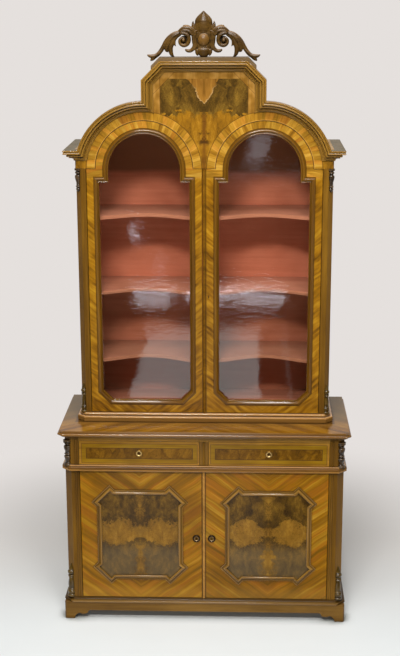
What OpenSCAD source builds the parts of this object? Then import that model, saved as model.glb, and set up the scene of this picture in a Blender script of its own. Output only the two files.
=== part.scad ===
// Arched bookcase credenza in walnut: a cupboard base with two drawers carries a glazed upper case
// with two round-arched doors, a stepped cornice and a carved crest.
// Millimetres, +Z up, front towards -Y, origin under the middle of the footprint.

/* [Worktop] */
// Width of the worktop, left to right
top_w = 1240; // [1226:2:1400]
// Depth of the worktop, front to back
top_d = 516; // [500:2:620]
// Height of the top surface of the worktop above the floor
top_z = 867; // [820:1:950]
// Thickness of the worktop
top_t = 28; // [26:1:40]
// Overhang of the worktop beyond the lower case
top_over = 26; // [22:1:40]
// Cut of the worktop's front corners
top_cut = 20; // [12:1:30]

/* [Lower case] */
// Height of the plinth boards
plinth_h = 78; // [66:1:100]
// Thickness of the plinth boards
plinth_t = 24; // [20:1:30]
// How far the plinth stands out from the case
plinth_out = 15; // [12:1:18]
// Height of the apron's lower edge between the bracket feet
apron_z = 40; // [30:1:50]
// Flat of each bracket foot on the floor
foot_w = 42; // [30:1:70]
// Thickness of the case bottom
bottom_t = 20; // [16:1:30]
// Thickness of the side boards
side_t = 20; // [16:1:26]
// Width of each corner post, seen from the front
post_w = 62; // [54:1:80]
// Depth of each corner post
post_d = 45; // [38:1:70]
// Cut of each post's outer corner, where the turnings sit
post_cut = 28; // [20:1:34]
// Thickness of the back panels
back_t = 10; // [6:1:16]
// Height of the rail between doors and drawers
rail_h = 24; // [22:1:34]
// Depth of the rail between doors and drawers
rail_d = 60; // [45:1:90]
// Clear height of the drawer openings
drawer_open_h = 109.5; // [100:0.5:150]
// Height of the frieze rail above the drawers
frieze_h = 19.5; // [14:0.5:40]
// Half width of the post between the drawers
divider_hw = 19; // [14:1:30]
// Thickness of the dust panel under the drawers
dust_t = 12; // [8:1:20]
// Height of the cupboard shelf above the floor
low_shelf_z = 388; // [300:1:500]
// Thickness of the cupboard shelf
low_shelf_t = 18; // [14:1:25]

/* [Doors and drawers] */
// Running gap round doors and drawer fronts
gap = 1.5; // [1.2:0.1:3]
// Thickness of the lower doors
low_door_t = 22; // [18:1:28]
// Thickness of the drawer fronts
drawer_front_t = 20; // [16:1:26]
// Thickness of the drawer sides and backs
drawer_side_t = 12; // [8:1:16]
// Free depth between the drawer boxes and the back of the case
drawer_room = 44; // [30:1:110]
// Height of the drawer sides
drawer_side_h = 92; // [70:1:96]
// Thickness of the drawer bottoms
drawer_bottom_t = 6; // [4:1:8]
// Clearance under and beside the drawer sides
slide_gap = 0.3; // [0.2:0.1:1]
// Width of the bead that covers the joint between two doors
bead_w = 12; // [8:1:16]
// Height of that bead above the doors
bead_h = 6; // [4:1:8]
// Distance of a door pivot from the door's outer edge
pivot_in = 5; // [4:0.5:6]
// Distance of a door pivot behind the door's face
pivot_back = 4.5; // [4:0.5:5]
// Eased corners along the doors' hinge edges
ease = 2; // [1.5:0.5:3]
// Radius of the pivot pins
pin_r = 2; // [1.5:0.1:2.5]
// Radial clearance of a pivot pin in its bore
pin_play = 0.08; // [0.03:0.01:0.1]
// Length of the pivot pins
pin_len = 12; // [8:1:18]
// Thickness of the pivot plates
plate_t = 2.5; // [2:0.5:4]
// Reach of the pivot plates inwards from the pivot
plate_in = 26; // [18:1:30]
// Reach of the pivot plates past the pivot
plate_end = 4; // [3:0.5:4.5]
// Reach of the pivot plates in front of the pivot
plate_front = 3; // [2.5:0.5:3.5]
// Reach of the pivot plates behind the pivot
plate_back = 9; // [5:0.5:10]
// Outer radius of the keyhole rings
ring_r = 16.5; // [12:0.5:18]
// Radius of the hole in the keyhole rings
ring_hole_r = 7; // [5:0.5:9]
// Height of the keyhole rings
ring_h = 4; // [2:0.5:6]
// Width of the lock cases let into doors and drawers
lock_w = 46; // [36:1:50]
// Height of the lock cases
lock_h = 60; // [40:1:70]
// Depth of the lock cases
lock_t = 9; // [6:1:11]
// Distance of the lower doors' keyholes from the middle
key_x = 33; // [32:1:44]
// Height of the lower doors' keyholes below the middle of the doors
key_drop = 14; // [0:1:60]
// Height of the glazed door's keyhole above the foot of the door
glass_key_h = 514; // [400:1:640]
// Distance of the glazed door's keyhole from the middle
glass_key_x = 17; // [14:1:20]
// Width of the glazed door's lock case
glass_lock_w = 28; // [20:1:30]

/* [Panel mouldings] */
// Half width of the octagon moulding on a lower door
oct_hw = 184.5; // [150:0.5:200]
// Half height of the octagon moulding
oct_hh = 207; // [170:1:230]
// Half length of the moulding's top side
oct_flat = 105.5; // [80:0.5:130]
// Rise of the ears at the cut corners
oct_ear = 22; // [14:1:30]
// Width of the moulding strip
strip_w = 20; // [14:1:24]
// Height of the moulding strip above the door
strip_h = 10; // [6:1:14]
// How far the octagons sit off the doors' middle, towards the hinges
oct_off = 6; // [0:1:12]

/* [Upper case] */
// Set-back of the upper case from each end of the worktop
up_set = 90; // [80:1:100]
// Depth of the upper case
up_d = 360; // [320:2:370]
// Height from the worktop to the floor of the upper case
base_h = 39; // [36:1:50]
// Projection of the base moulding
base_out = 19; // [17:1:24]
// Height of the frame under the floor of the upper case
base_frame_h = 21; // [16:1:24]
// Width of the frame members
base_rail = 60; // [50:1:90]
// Thickness of the upper side boards
up_side_t = 18; // [14:1:22]
// Width of each upper corner post
up_post_w = 42.5; // [40:0.5:50]
// Depth of each upper corner post
up_post_d = 40; // [32:1:60]
// Cut of the upper posts' outer corner
up_cut = 20; // [14:1:26]
// Height from the worktop to the shoulders of the glazed doors
shoulder_h = 1090; // [1040:1:1160]
// Height of the imposts above the shoulders
impost_h = 33; // [24:1:40]
// How far the imposts stand out
impost_out = 4; // [2:1:4]
// Height and projection of the cornice
cornice = 46; // [40:1:50]
// Thickness of the face board and crest
face_t = 24; // [20:1:30]
// Thickness of the slats of the two curved roofs
roof_t = 8; // [6:1:12]
// Slats in each curved roof
roof_slats = 8; // [6:1:12]
// Thickness of the flat roof boards at the shoulders
shoulder_t = 18; // [14:1:24]

/* [Arches] */
// Width of the face board between the two arches
arch_post = 91.5; // [88:0.5:105]
// Drop of the arch centres below the shoulders
arch_drop = 6; // [0:1:10]
// Distance from the arched opening to the cornice
archivolt = 35.5; // [32:0.5:40]

/* [Crest] */
// Width of the crest over its moulding
crest_w = 504; // [490:2:520]
// Height of the crest above the shoulders of the doors
crest_h = 436; // [420:1:470]
// Cut of the crest's upper corners
crest_cut = 75; // [60:1:90]
// Thickness of the capping under the carving
cap_t = 14; // [10:1:20]
// Length of the capping's sloping wings, measured sideways
cap_wing = 34; // [20:1:45]
// Height of the carving
carving_h = 181; // [150:1:210]
// Half width of the carving
carving_hw = 226; // [200:1:240]
// Thickness of the carving
carving_t = 26; // [18:1:34]

/* [Glazed doors] */
// Thickness of the glazed door frames
glass_door_t = 24; // [22:1:28]
// Width of the veneered frame outside the sash moulding
stile_w = 32.5; // [28:0.5:40]
// Width of the sash moulding
sash_w = 20; // [16:1:24]
// Cut of the sash moulding's lower corners
sash_cut = 52; // [40:1:70]
// Step of the sash moulding at the foot of the arch
sash_step = 38; // [30:1:46]
// Drop of that step below the shoulders
sash_drop = 37; // [30:1:50]
// Lip of the sash moulding over the frame
sash_lip = 6; // [4:1:8]
// Thickness of the glass
glass_t = 3; // [2:0.5:4]
// Width of the glazing beads behind the glass
glazing_w = 9; // [6:1:11]

/* [Turnings] */
// Height of the turnings at the foot of the lower posts
low_foot_h = 152.7; // [120:0.1:200]
// Radius of the lower turnings, as a share of the posts' cut
low_turn = 0.68; // [0.6:0.01:0.7]
// Height of the turnings at the head of the upper posts
head_h = 96.7; // [80:0.1:140]
// Height of the turnings at the foot of the upper posts
up_foot_h = 128.7; // [100:0.1:180]
// Radius of the upper turnings, as a share of the posts' cut
up_turn = 0.75; // [0.6:0.01:0.78]

/* [Braces] */
// Distance of the crest's braces from its ends
brace_in = 110; // [90:1:140]
// Depth of the crest's braces behind the face board
brace_d = 140; // [100:1:160]
// Thickness of the crest's braces
brace_t = 18; // [14:1:24]
// Height of the braces' feet, which are scribed to the curved roofs
brace_foot = 60; // [40:1:70]
// Distance of the braces' upper ends below the crest
brace_drop = 50; // [40:1:90]

/* [Shelves] */
// Height of the lowest shelf above the worktop
shelf_low = 267; // [220:1:320]
// Height of the middle shelf above the worktop
shelf_mid = 563; // [500:1:600]
// Height of the top shelf above the worktop
shelf_high = 885; // [820:1:930]
// Thickness of the shelves
shelf_t = 15; // [12:1:20]
// Depth of the curve in the shelves' front edge
shelf_wave = 43; // [20:1:60]
// Height and thickness of the battens that carry the shelves
batten = 14; // [10:1:18]

/* [Hidden] */

golden = "#B07C30";
walnut = "#6E4726";
ebony = "#2B2320";
brass = "#B08D3C";
iron = "#5A5650";
paint = "#A65A46";
raw = "#B79A6E";
pane_tint = "#C9D3D0";

// Clearance between solids that only lie near each other
seat = 0.3;
// Length that reaches past any piece in a cut
far = 3000;
// Share of a 45 degree cut that an offset outline adds
k45 = 2 - sqrt(2);
// Cut of the plinth's two front corners
plinth_ease = 6;

// Planes of the lower case
low_hw = top_w / 2 - top_over;
low_front = -top_d / 2 + top_over;
back_y = top_d / 2;
case_back = back_y - 2;
panel_y = case_back - back_t - 4;
door_x = low_hw - post_w;
post_back = low_front + post_d;
low_in = low_hw - side_t;
plinth_hw = low_hw + plinth_out;
plinth_front_y = low_front - plinth_out;
floor_z = plinth_h + bottom_t;
case_top = top_z - top_t;
frieze_z = case_top - frieze_h;
rail_top = frieze_z - drawer_open_h;
rail_z = rail_top - rail_h;

// Planes of the upper case
up_hw = top_w / 2 - up_set;
up_front = case_back - up_d;
up_post_back = up_front + up_post_d;
up_in = up_hw - up_side_t;
up_door_x = up_hw - up_post_w;
up_panel_y = panel_y - 2;
up_frame_z = top_z + base_frame_h;
up_floor = top_z + base_h;
shoulder = top_z + shoulder_h;
impost_z = shoulder + impost_h;
eaves_z = impost_z + cornice;
face_back = up_front + face_t;

// Arches, roof and crest
low_end = door_x - gap;
up_end = up_door_x - gap;
meet_left = bead_w / 2 + gap + 1;
meet_right = bead_w / 2 + 1;
arch_x = (up_end + meet_left) / 2;
arch_z = shoulder - arch_drop;
arch_r = arch_x - arch_post / 2;
cornice_r = arch_r + archivolt;
cornice_w = cornice - 0.5;
roof_r = cornice_r + 13;
beam_hw = 25;
beam_z = shoulder + 18;
crest_hw = crest_w / 2;
crest_top = shoulder + crest_h;
cap_top = crest_top + cap_t;

// Doors and drawers
low_z0 = floor_z + gap;
low_z1 = rail_z - gap;
up_z0 = up_floor + gap;
up_z1 = shoulder - gap;
low_axis = [low_end - pivot_in, low_front + pivot_back];
up_axis = [up_end - pivot_in, up_front + pivot_back];
drawer_x0 = divider_hw + gap;
drawer_z0 = rail_top + gap;
drawer_z1 = frieze_z - gap;
drawer_mid = (drawer_x0 + low_end) / 2;
box_x0 = drawer_x0 + 4;
box_x1 = low_end - 3;
box_y0 = low_front + drawer_front_t;
box_y1 = panel_y - drawer_room;
box_z0 = rail_top + slide_gap;
bottom_z = box_z0 + 12;
groove = 5;
low_key_z = (low_z0 + low_z1) / 2 - key_drop;
drawer_key_z = (drawer_z0 + drawer_z1) / 2;
glass_key_z = up_z0 + glass_key_h;
oct_x = (low_end + meet_left) / 2 + oct_off;
oct_z = (low_z0 + low_z1) / 2;
sash_hw = arch_x - meet_left - stile_w;
sash_z0 = up_z0 + stile_w + 3;
sash_z1 = shoulder - sash_drop;
round_n = 96;

// Points of an arc from angle a0 to a1
function arc(cx, cy, r, a0, a1, n = 8) =
    [for (i = [0:n]) [cx + r * cos(a0 + (a1 - a0) * i / n), cy + r * sin(a0 + (a1 - a0) * i / n)]];

// The same points on the other side of the middle, in reverse order
function other_side(pts) = [for (i = [len(pts) - 1:-1:0]) [-pts[i][0], pts[i][1]]];

function swapped(pts) = [for (p = pts) [p[1], p[0]]];

function moved(pts, dx, dy) = [for (p = pts) [p[0] + dx, p[1] + dy]];

// Profiles hold [projection, height] from the lower edge upwards
worktop_profile = concat([[-18, 0], [-14, 0], [-14, 2]], arc(-4, 2, 10, 180, 90), [[0, 13]],
    arc(-13, top_t - 13, 13, 0, 90, 10));
plinth_profile = concat([[0, 0], [plinth_out + 2, 0], [plinth_out + 3, 2]],
    arc(plinth_out, 5, 3, 0, 90, 4), arc(plinth_out, bottom_t, bottom_t - 8, 270, 180), [[0, bottom_t]]);
rail_profile = concat([[0, 0], [2, 0]], arc(10, 0, 8, 180, 90, 6), [[12.5, 8], [12.5, rail_h - 11]],
    arc(5, rail_h - 11, 7.5, 0, 90, 6), [[0, rail_h - 3.5]]);
base_profile = concat([[0, 0], [base_out, 0], [base_out, 12]], arc(base_out - 8, 12, 8, 0, 90, 6),
    [[base_out - 9, 20], [base_out - 9, 24]], arc(base_out - 9, base_h - 6, 9, 270, 180, 6),
    [[base_out - 18, base_h - 2], [0, base_h - 2]]);

// Cornice, as [distance from its inner edge, projection]
cove_w = cornice * 0.22;
cove_out = cornice * 0.52;
ovolo_w = cornice * 0.15;
ovolo_out = cornice * 0.13;
lip_w = cornice * 0.54;
cornice_profile = concat([[0, 0], [0, 4], [1, 5], [3, 5]],
    [for (i = [1:8]) [3 + cove_w * sin(i * 90 / 8), 5 + (cove_out - 5) * (1 - cos(i * 90 / 8))]],
    [[3 + cove_w, cove_out + 2], [5 + cove_w, cove_out + 2]],
    [for (i = [1:6]) [5 + cove_w + ovolo_w * (1 - cos(i * 90 / 6)),
        cove_out + 2 + ovolo_out * sin(i * 90 / 6)]],
    [[lip_w, cove_out + ovolo_out + 2], [lip_w + 0.5, cornice - 3], [lip_w + 2, cornice],
        [cornice_w - 2, cornice], [cornice_w, cornice - 2]]);

// Plan of a case with cut front corners
function case_plan(hw, front, back, cut) =
    [[-hw, back], [-hw, front + cut], [-hw + cut, front], [hw - cut, front], [hw, front + cut], [hw, back]];

module block(a, b) {
    translate(a) cube([b[0] - a[0], b[1] - a[1], b[2] - a[2]]);
}

// Upright solid over a drawing in X and Z, from y0 to y1
module upright(y0, y1) {
    translate([0, y1, 0]) rotate([90, 0, 0]) linear_extrude(y1 - y0) children();
}

module on_side(s) {
    mirror([s < 0 ? 1 : 0, 0, 0]) children();
}

module both_sides() {
    for (s = [-1, 1])
        on_side(s) children();
}

// Slab whose front, sides and cut corners carry one profile
module moulded_slab(profile, hw, front, back, cut) {
    lo = profile[0][1];
    hi = profile[len(profile) - 1][1];
    cut_n = (hw - front - cut) / sqrt(2);
    module bar(face) {
        translate([-far, 0, 0]) rotate([90, 0, 90]) linear_extrude(2 * far)
            polygon(concat([for (p = profile) [-face - p[0], p[1]]], [[far, hi], [far, lo]]));
    }
    intersection() {
        bar(-front);
        translate([0, back, 0]) rotate([90, 0, 0]) linear_extrude(far)
            polygon(concat(moved(profile, hw, 0), other_side(moved(profile, hw, 0))));
        if (cut > 0) rotate([0, 0, 45]) bar(cut_n);
        if (cut > 0) rotate([0, 0, -45]) bar(cut_n);
    }
}

// Moulding round the front and sides of a case: a front length and two side lengths
module moulded_strip(profile, hw, front, back, cut) {
    lo = profile[0][1] - 1;
    hi = profile[len(profile) - 1][1] + 1;
    joint = front + cut + 2;
    difference() {
        moulded_slab(profile, hw, front, back, cut);
        translate([0, 0, lo]) linear_extrude(hi - lo) polygon(case_plan(hw, front, back + 1, cut));
        block([-far, joint, lo], [far, joint + seat, hi]);
    }
}

// Cut between two bracket feet, half a width to each side of the middle
module bracket_cut(half) {
    k = apron_z / 40;
    right = concat([[half, -1]], arc(half - 27 * k, 0, 27 * k, 0, 79),
        arc(half - 39.5 * k, 54 * k, 32.5 * k, 303, 237, 6), arc(half - 70 * k, 27 * k, 13 * k, 0, 90, 6));
    polygon(concat(right, other_side(right)));
}

module plinth_front() {
    e = plinth_ease;
    w = plinth_hw;
    f = plinth_front_y;
    color(golden) difference() {
        linear_extrude(plinth_h) polygon([[-w + e, f], [w - e, f], [w - e / 2, f + e / 2],
            [w - plinth_t, f + plinth_t - e / 2], [-w + plinth_t, f + plinth_t - e / 2], [-w + e / 2, f + e / 2]]);
        upright(f - 1, f + plinth_t + 1) bracket_cut(w - foot_w);
    }
}

module plinth_returns() {
    e = plinth_ease;
    w = plinth_hw;
    f = plinth_front_y;
    color(golden) {
        both_sides() difference() {
            linear_extrude(plinth_h) polygon([[w, f + e], [w, back_y], [w - plinth_t, back_y],
                [w - plinth_t, f + plinth_t], [w - e / 2 - seat / 2, f + e / 2 + seat]]);
            translate([w - plinth_t - 1, (f + back_y) / 2, 0]) rotate([90, 0, 90])
                linear_extrude(plinth_t + 2) bracket_cut((back_y - f) / 2 - foot_w);
        }
        block([-w + plinth_t + seat, back_y - plinth_t, apron_z], [w - plinth_t - seat, back_y, plinth_h]);
    }
}

module plinth_moulding() {
    color(walnut) moulded_strip(moved(plinth_profile, 0, plinth_h), low_hw, low_front, back_y, post_cut);
}

// Place of a pivot plate: length along X, reaching inwards from the axis
module plate_at(axis, z0, z1, play = 0) {
    block([axis[0] - plate_in - play, axis[1] - plate_front - play, z0],
        [axis[0] + plate_end + play, axis[1] + plate_back + play, z1]);
}

module lower_bottom() {
    color(raw) difference() {
        union() {
            translate([0, 0, plinth_h]) linear_extrude(bottom_t) polygon([[-door_x, low_front],
                [door_x, low_front], [door_x, post_back], [low_in, post_back], [low_in, panel_y],
                [-low_in, panel_y], [-low_in, post_back], [-door_x, post_back]]);
            block([-door_x + 40, low_front + low_door_t + 0.5, floor_z - 1],
                [door_x - 40, low_front + low_door_t + 9, floor_z + 8]);
        }
        both_sides() plate_at(low_axis, floor_z - plate_t, floor_z + 1);
    }
}

module lower_side(s) {
    color(golden) on_side(s) block([low_in, post_back, plinth_h], [low_hw, case_back, case_top]);
}

module lower_posts() {
    bead_x = door_x + 13;
    spans = [[floor_z + 2, rail_z - 2], [rail_top + 2, frieze_z + 3]];
    color(golden) both_sides() {
        translate([0, 0, plinth_h]) linear_extrude(case_top - plinth_h)
            polygon([[door_x, low_front], [low_hw - post_cut, low_front],
                [low_hw, low_front + post_cut], [low_hw, post_back], [door_x, post_back]]);
        for (span = spans)
            translate([bead_x, low_front, span[0]]) cylinder(h = span[1] - span[0], r = 4, $fn = 32);
    }
}

module lower_back() {
    color(raw) block([-low_in, panel_y, plinth_h], [low_in, panel_y + back_t, case_top]);
}

module mid_rail() {
    color(walnut) {
        difference() {
            block([-door_x, low_front, rail_z], [door_x, low_front + rail_d, rail_top]);
            both_sides() plate_at(low_axis, rail_z - 1, rail_z + plate_t);
        }
        moulded_strip(moved(rail_profile, 0, rail_z), low_hw, low_front, case_back, post_cut);
    }
}

module drawer_divider() {
    color(golden) {
        block([-divider_hw, low_front, rail_top], [divider_hw, post_back, frieze_z]);
        translate([0, low_front, rail_top + 3]) cylinder(h = drawer_open_h - 6, r = 4.5, $fn = 32);
    }
}

module drawer_bed() {
    guide_h = 18;
    y1 = panel_y - 5;
    color(raw) {
        block([-low_in, low_front + rail_d, rail_top - dust_t], [low_in, panel_y, rail_top]);
        both_sides() block([box_x1 + slide_gap, post_back, rail_top + seat], [low_in, y1, rail_top + guide_h]);
        block([-box_x0 + slide_gap, post_back, rail_top + seat],
            [box_x0 - slide_gap, y1, rail_top + guide_h]);
    }
}

module lower_shelf() {
    color(raw) block([-low_in, post_back + 30, low_shelf_z - low_shelf_t], [low_in, panel_y, low_shelf_z]);
}

module frieze_rail() {
    color(walnut) block([-door_x, low_front, frieze_z], [door_x, low_front + 22, case_top]);
}

module worktop() {
    color(walnut) moulded_slab(moved(worktop_profile, 0, case_top), top_w / 2, -top_d / 2, back_y, top_cut);
}

// Turned piece, halved against the cut corner of a post. Each point of its shape is
// [share of the height, radius]
module split_turnings(hw, front, cut, z0, z1, shape) {
    h = z1 - z0;
    both_sides() translate([hw - cut / 2, front + cut / 2, z0]) rotate([0, 0, 45]) intersection() {
        rotate_extrude($fn = 48)
            polygon(concat([[0, 0]], [for (p = shape) [p[1], p[0] * h]], [[0, h]]));
        block([-40, -40, -1], [40, 0, h + 1]);
    }
}

// A slim vase on a square-shouldered foot, for the ends of the long posts
foot_shape = [[0, 1], [0.06, 1], [0.08, 0.74], [0.11, 0.84], [0.14, 0.63], [0.25, 0.71], [0.38, 0.82],
    [0.50, 0.84], [0.58, 0.66], [0.61, 0.82], [0.65, 0.63], [0.70, 0.76], [0.76, 0.95], [0.81, 0.97],
    [0.85, 0.76], [0.90, 0.53], [0.96, 0.32], [1, 0.16]];
// A baluster between two mouldings
long_shape = [[0, 1], [0.07, 0.95], [0.10, 0.68], [0.16, 0.63], [0.26, 0.79], [0.36, 0.89], [0.41, 0.63],
    [0.45, 0.87], [0.50, 0.63], [0.56, 0.71], [0.62, 0.84], [0.70, 0.92], [0.75, 0.95], [0.80, 0.97],
    [0.85, 0.68], [0.88, 0.84], [0.91, 1], [1, 1]];

function sized(shape, r) = [for (p = shape) [p[0], p[1] * r]];
function upended(shape) = [for (i = [len(shape) - 1:-1:0]) [1 - shape[i][0], shape[i][1]]];

module lower_turnings() {
    r = post_cut * low_turn;
    foot = floor_z + seat;
    color(ebony) {
        split_turnings(low_hw, low_front, post_cut, rail_top - 3.5 + seat, frieze_z - gap, sized(long_shape, r));
        split_turnings(low_hw, low_front, post_cut, foot, foot + low_foot_h, sized(foot_shape, r));
    }
}

module upper_turnings() {
    r = up_cut * up_turn;
    head = shoulder - seat;
    foot = up_floor + seat;
    color(ebony) {
        split_turnings(up_hw, up_front, up_cut, head - head_h, head, upended(sized(foot_shape, r)));
        split_turnings(up_hw, up_front, up_cut, foot, foot + up_foot_h, sized(foot_shape, r));
    }
}

module upper_base() {
    y1 = up_front + base_rail;
    y2 = case_back - base_rail;
    x1 = up_hw - base_rail;
    color(walnut) difference() {
        moulded_slab(moved(base_profile, 0, top_z), up_hw, up_front, case_back, up_cut);
        translate([0, 0, up_frame_z]) linear_extrude(base_h)
            polygon(case_plan(up_hw, up_front, case_back + 1, up_cut));
        block([-x1, y1, top_z - 1], [x1, y2, up_frame_z + 1]);
        block([-far, y1, top_z - 1], [far, y1 + seat, up_frame_z + base_h]);
        both_sides() block([x1 - seat, y1, top_z - 1], [x1, case_back + 1, up_frame_z + 1]);
    }
}

module upper_bottom() {
    color(raw) difference() {
        union() {
            translate([0, 0, up_frame_z]) linear_extrude(up_floor - up_frame_z)
                polygon([[-up_door_x, up_front], [up_door_x, up_front], [up_door_x, up_post_back],
                    [up_in, up_post_back], [up_in, up_panel_y], [-up_in, up_panel_y],
                    [-up_in, up_post_back], [-up_door_x, up_post_back]]);
            block([-up_door_x + 30, up_front + glass_door_t + 0.5, up_floor - 1],
                [up_door_x - 30, up_front + glass_door_t + 9, up_floor + 8]);
        }
        both_sides() plate_at(up_axis, up_floor - plate_t, up_floor + 1);
    }
}

module upper_side(s) {
    color(golden) on_side(s) {
        block([up_in, up_post_back, up_frame_z], [up_hw, case_back, eaves_z - shoulder_t]);
        block([up_in, face_back, shoulder], [up_hw, up_post_back, eaves_z - shoulder_t]);
    }
}

module upper_posts() {
    color(golden) both_sides() translate([0, 0, up_frame_z]) linear_extrude(shoulder - up_frame_z)
        polygon([[up_door_x, up_front], [up_hw - up_cut, up_front], [up_hw, up_front + up_cut],
            [up_hw, up_post_back], [up_door_x, up_post_back]]);
}

module upper_back() {
    color(paint) upright(up_panel_y, up_panel_y + back_t) {
        translate([-up_in, up_frame_z]) square([2 * up_in, beam_z - up_frame_z]);
        for (s = [-1, 1]) {
            translate([s * arch_x, arch_z]) circle(r = roof_r - roof_t - seat, $fn = round_n);
            translate([s > 0 ? up_hw - base_rail : -up_in, up_frame_z])
                square([up_in - up_hw + base_rail, eaves_z - shoulder_t - up_frame_z]);
        }
    }
}

module face_board() {
    board_r = roof_r + 18;
    color(golden) difference() {
        upright(up_front, face_back) difference() {
            union() {
                translate([-up_hw, shoulder]) square([2 * up_hw, eaves_z - shoulder]);
                for (s = [-1, 1])
                    translate([s * arch_x, arch_z]) circle(r = board_r, $fn = round_n);
                polygon([[-crest_hw, eaves_z], [crest_hw, eaves_z],
                    [crest_hw, crest_top - crest_cut], [crest_hw - crest_cut, crest_top],
                    [-crest_hw + crest_cut, crest_top], [-crest_hw, crest_top - crest_cut]]);
            }
            for (s = [-1, 1])
                translate([s * arch_x, arch_z]) circle(r = arch_r, $fn = round_n);
            translate([-far / 2, shoulder - far]) square([far, far]);
        }
        both_sides() plate_at(up_axis, shoulder - 1, shoulder + plate_t);
    }
}

// Where a circle of radius r round an arch's centre reaches height z, on its outer side
function arch_at(r, z) = [arch_x + sqrt(pow(r, 2) - pow(z - arch_z, 2)), z];

// Mitre between the side cornice and the arch, then between the arch and the crest
mitre_a = arch_at(cornice_r, impost_z);
mitre_b = arch_at(cornice_r + cornice_w, eaves_z);
mitre_c = [crest_hw - cornice_w, arch_z + sqrt(pow(cornice_r, 2) - pow(arch_x - crest_hw + cornice_w, 2)) + 3];

module arch_cornices() {
    ring = concat([[cornice_r, -1]], moved(cornice_profile, cornice_r, 0), [[cornice_r + cornice_w, -1]]);
    step = mitre_b - mitre_a;
    color(walnut) both_sides() intersection() {
        translate([arch_x, up_front, arch_z]) rotate([90, 0, 0]) rotate_extrude($fn = round_n) polygon(ring);
        upright(up_front - 2 * cornice, up_front)
            polygon([mitre_c, mitre_c + 2 * [cornice, cornice], [2 * up_hw, mitre_c[1] + 2 * cornice], mitre_b + step,
                mitre_a - step / 2, [arch_x, mitre_a[1] - step[1] / 2], [mitre_c[0], arch_z + arch_r / 2]]);
    }
}

module side_cornices() {
    step = mitre_b - mitre_a;
    color(walnut) both_sides() {
        intersection() {
            difference() {
                moulded_slab(moved(swapped(cornice_profile), 0, impost_z), up_hw, up_front, case_back, 0);
                block([-up_hw, up_front, impost_z - 1], [up_hw, case_back + 1, eaves_z + 1]);
            }
            upright(up_front - 2 * cornice, case_back) polygon([mitre_a - step * 0.2, mitre_b + step,
                [2 * up_hw, mitre_b[1] + step[1]], [2 * up_hw, impost_z - 1], [mitre_a[0], impost_z - 1]]);
        }
        block([arch_x + arch_r, up_front - impost_out, shoulder], [up_hw + impost_out, up_front, impost_z]);
        block([up_hw, up_front, shoulder], [up_hw + impost_out, up_post_back, impost_z]);
    }
    color(walnut) block([-arch_x + arch_r, up_front - impost_out, shoulder],
        [arch_x - arch_r, up_front, shoulder + 18]);
}

module crest_moulding() {
    in_hw = crest_hw - cornice_w;
    in_top = crest_top - cornice_w;
    in_cut = crest_cut - cornice_w * k45;
    low = mitre_c[1] - in_hw;
    hollow = concat([[-1, -1]], cornice_profile, [[cornice_w + cornice, 2 * cornice]]);
    color(walnut) difference() {
        upright(up_front - cornice, up_front) polygon([[-crest_hw, low + crest_hw],
            [-crest_hw, crest_top - crest_cut], [-crest_hw + crest_cut, crest_top],
            [crest_hw - crest_cut, crest_top], [crest_hw, crest_top - crest_cut],
            [crest_hw, low + crest_hw], [in_hw, low + in_hw], [-in_hw, low + in_hw]]);
        translate([0, up_front, 0]) rotate([90, 0, 0]) mirror([0, 1, 0])
            moulded_slab(swapped(hollow), in_hw, -in_top, -low, in_cut);
    }
}

module crest_braces() {
    low = arch_z + roof_r - brace_foot;
    color(raw) both_sides() difference() {
        translate([crest_hw - brace_in, 0, 0]) rotate([90, 0, 90]) linear_extrude(brace_t)
            polygon([[face_back, low], [face_back + brace_d, low],
                [face_back + brace_d, arch_z + roof_r], [face_back, crest_top - brace_drop]]);
        translate([arch_x, case_back, arch_z]) rotate([90, 0, 0])
            cylinder(h = case_back - face_back + 1, r = roof_r + seat, $fn = round_n);
    }
}

module crest_cap() {
    flat = crest_hw - crest_cut;
    right = [[flat, crest_top], [flat + cap_wing, crest_top - cap_wing],
        [flat + cap_wing, crest_top - cap_wing + cap_t + 1], [flat + 1, cap_top]];
    color(walnut) upright(up_front - cornice + 2, face_back) polygon(concat(right, other_side(right)));
}

// Curved roofs of narrow slats, flat boards beside them and a beam between them
module roof() {
    y0 = face_back;
    inner = arch_at(roof_r - roof_t, eaves_z - shoulder_t);
    a0 = asin((eaves_z + seat - arch_z) / roof_r);
    a1 = 180 - asin((beam_z + seat - arch_z) / roof_r);
    step = (a1 - a0) / roof_slats;
    color(raw) {
        both_sides() {
            upright(y0, case_back) intersection() {
                difference() {
                    translate([arch_x, arch_z]) circle(r = roof_r, $fn = round_n);
                    translate([arch_x, arch_z]) circle(r = roof_r - roof_t, $fn = round_n);
                    for (i = [1:roof_slats - 1])
                        translate([arch_x, arch_z]) rotate(a0 + i * step) translate([0, -seat / 2])
                            square([roof_r + 1, seat]);
                }
                polygon([[1, beam_z + seat], [arch_x, beam_z + seat], [arch_x, eaves_z + seat],
                    [2 * up_hw, eaves_z + seat], [2 * up_hw, crest_top], [1, crest_top]]);
            }
            block([inner[0], y0, eaves_z - shoulder_t], [up_hw, case_back, eaves_z]);
        }
        block([-beam_hw, y0, shoulder], [beam_hw, up_panel_y, beam_z]);
    }
}

// Half outline of a band along a list of [x, z, half width]
function band_side(pts, s) = [for (i = [0:len(pts) - 1])
    let (a = pts[max(i - 1, 0)], b = pts[min(i + 1, len(pts) - 1)], d = [b[0] - a[0], b[1] - a[1]])
    [pts[i][0] - s * d[1] / norm(d) * pts[i][2], pts[i][1] + s * d[0] / norm(d) * pts[i][2]]];

module band(pts) {
    right = band_side(pts, -1);
    polygon(concat(band_side(pts, 1), [for (i = [len(right) - 1:-1:0]) right[i]]));
}

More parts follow.
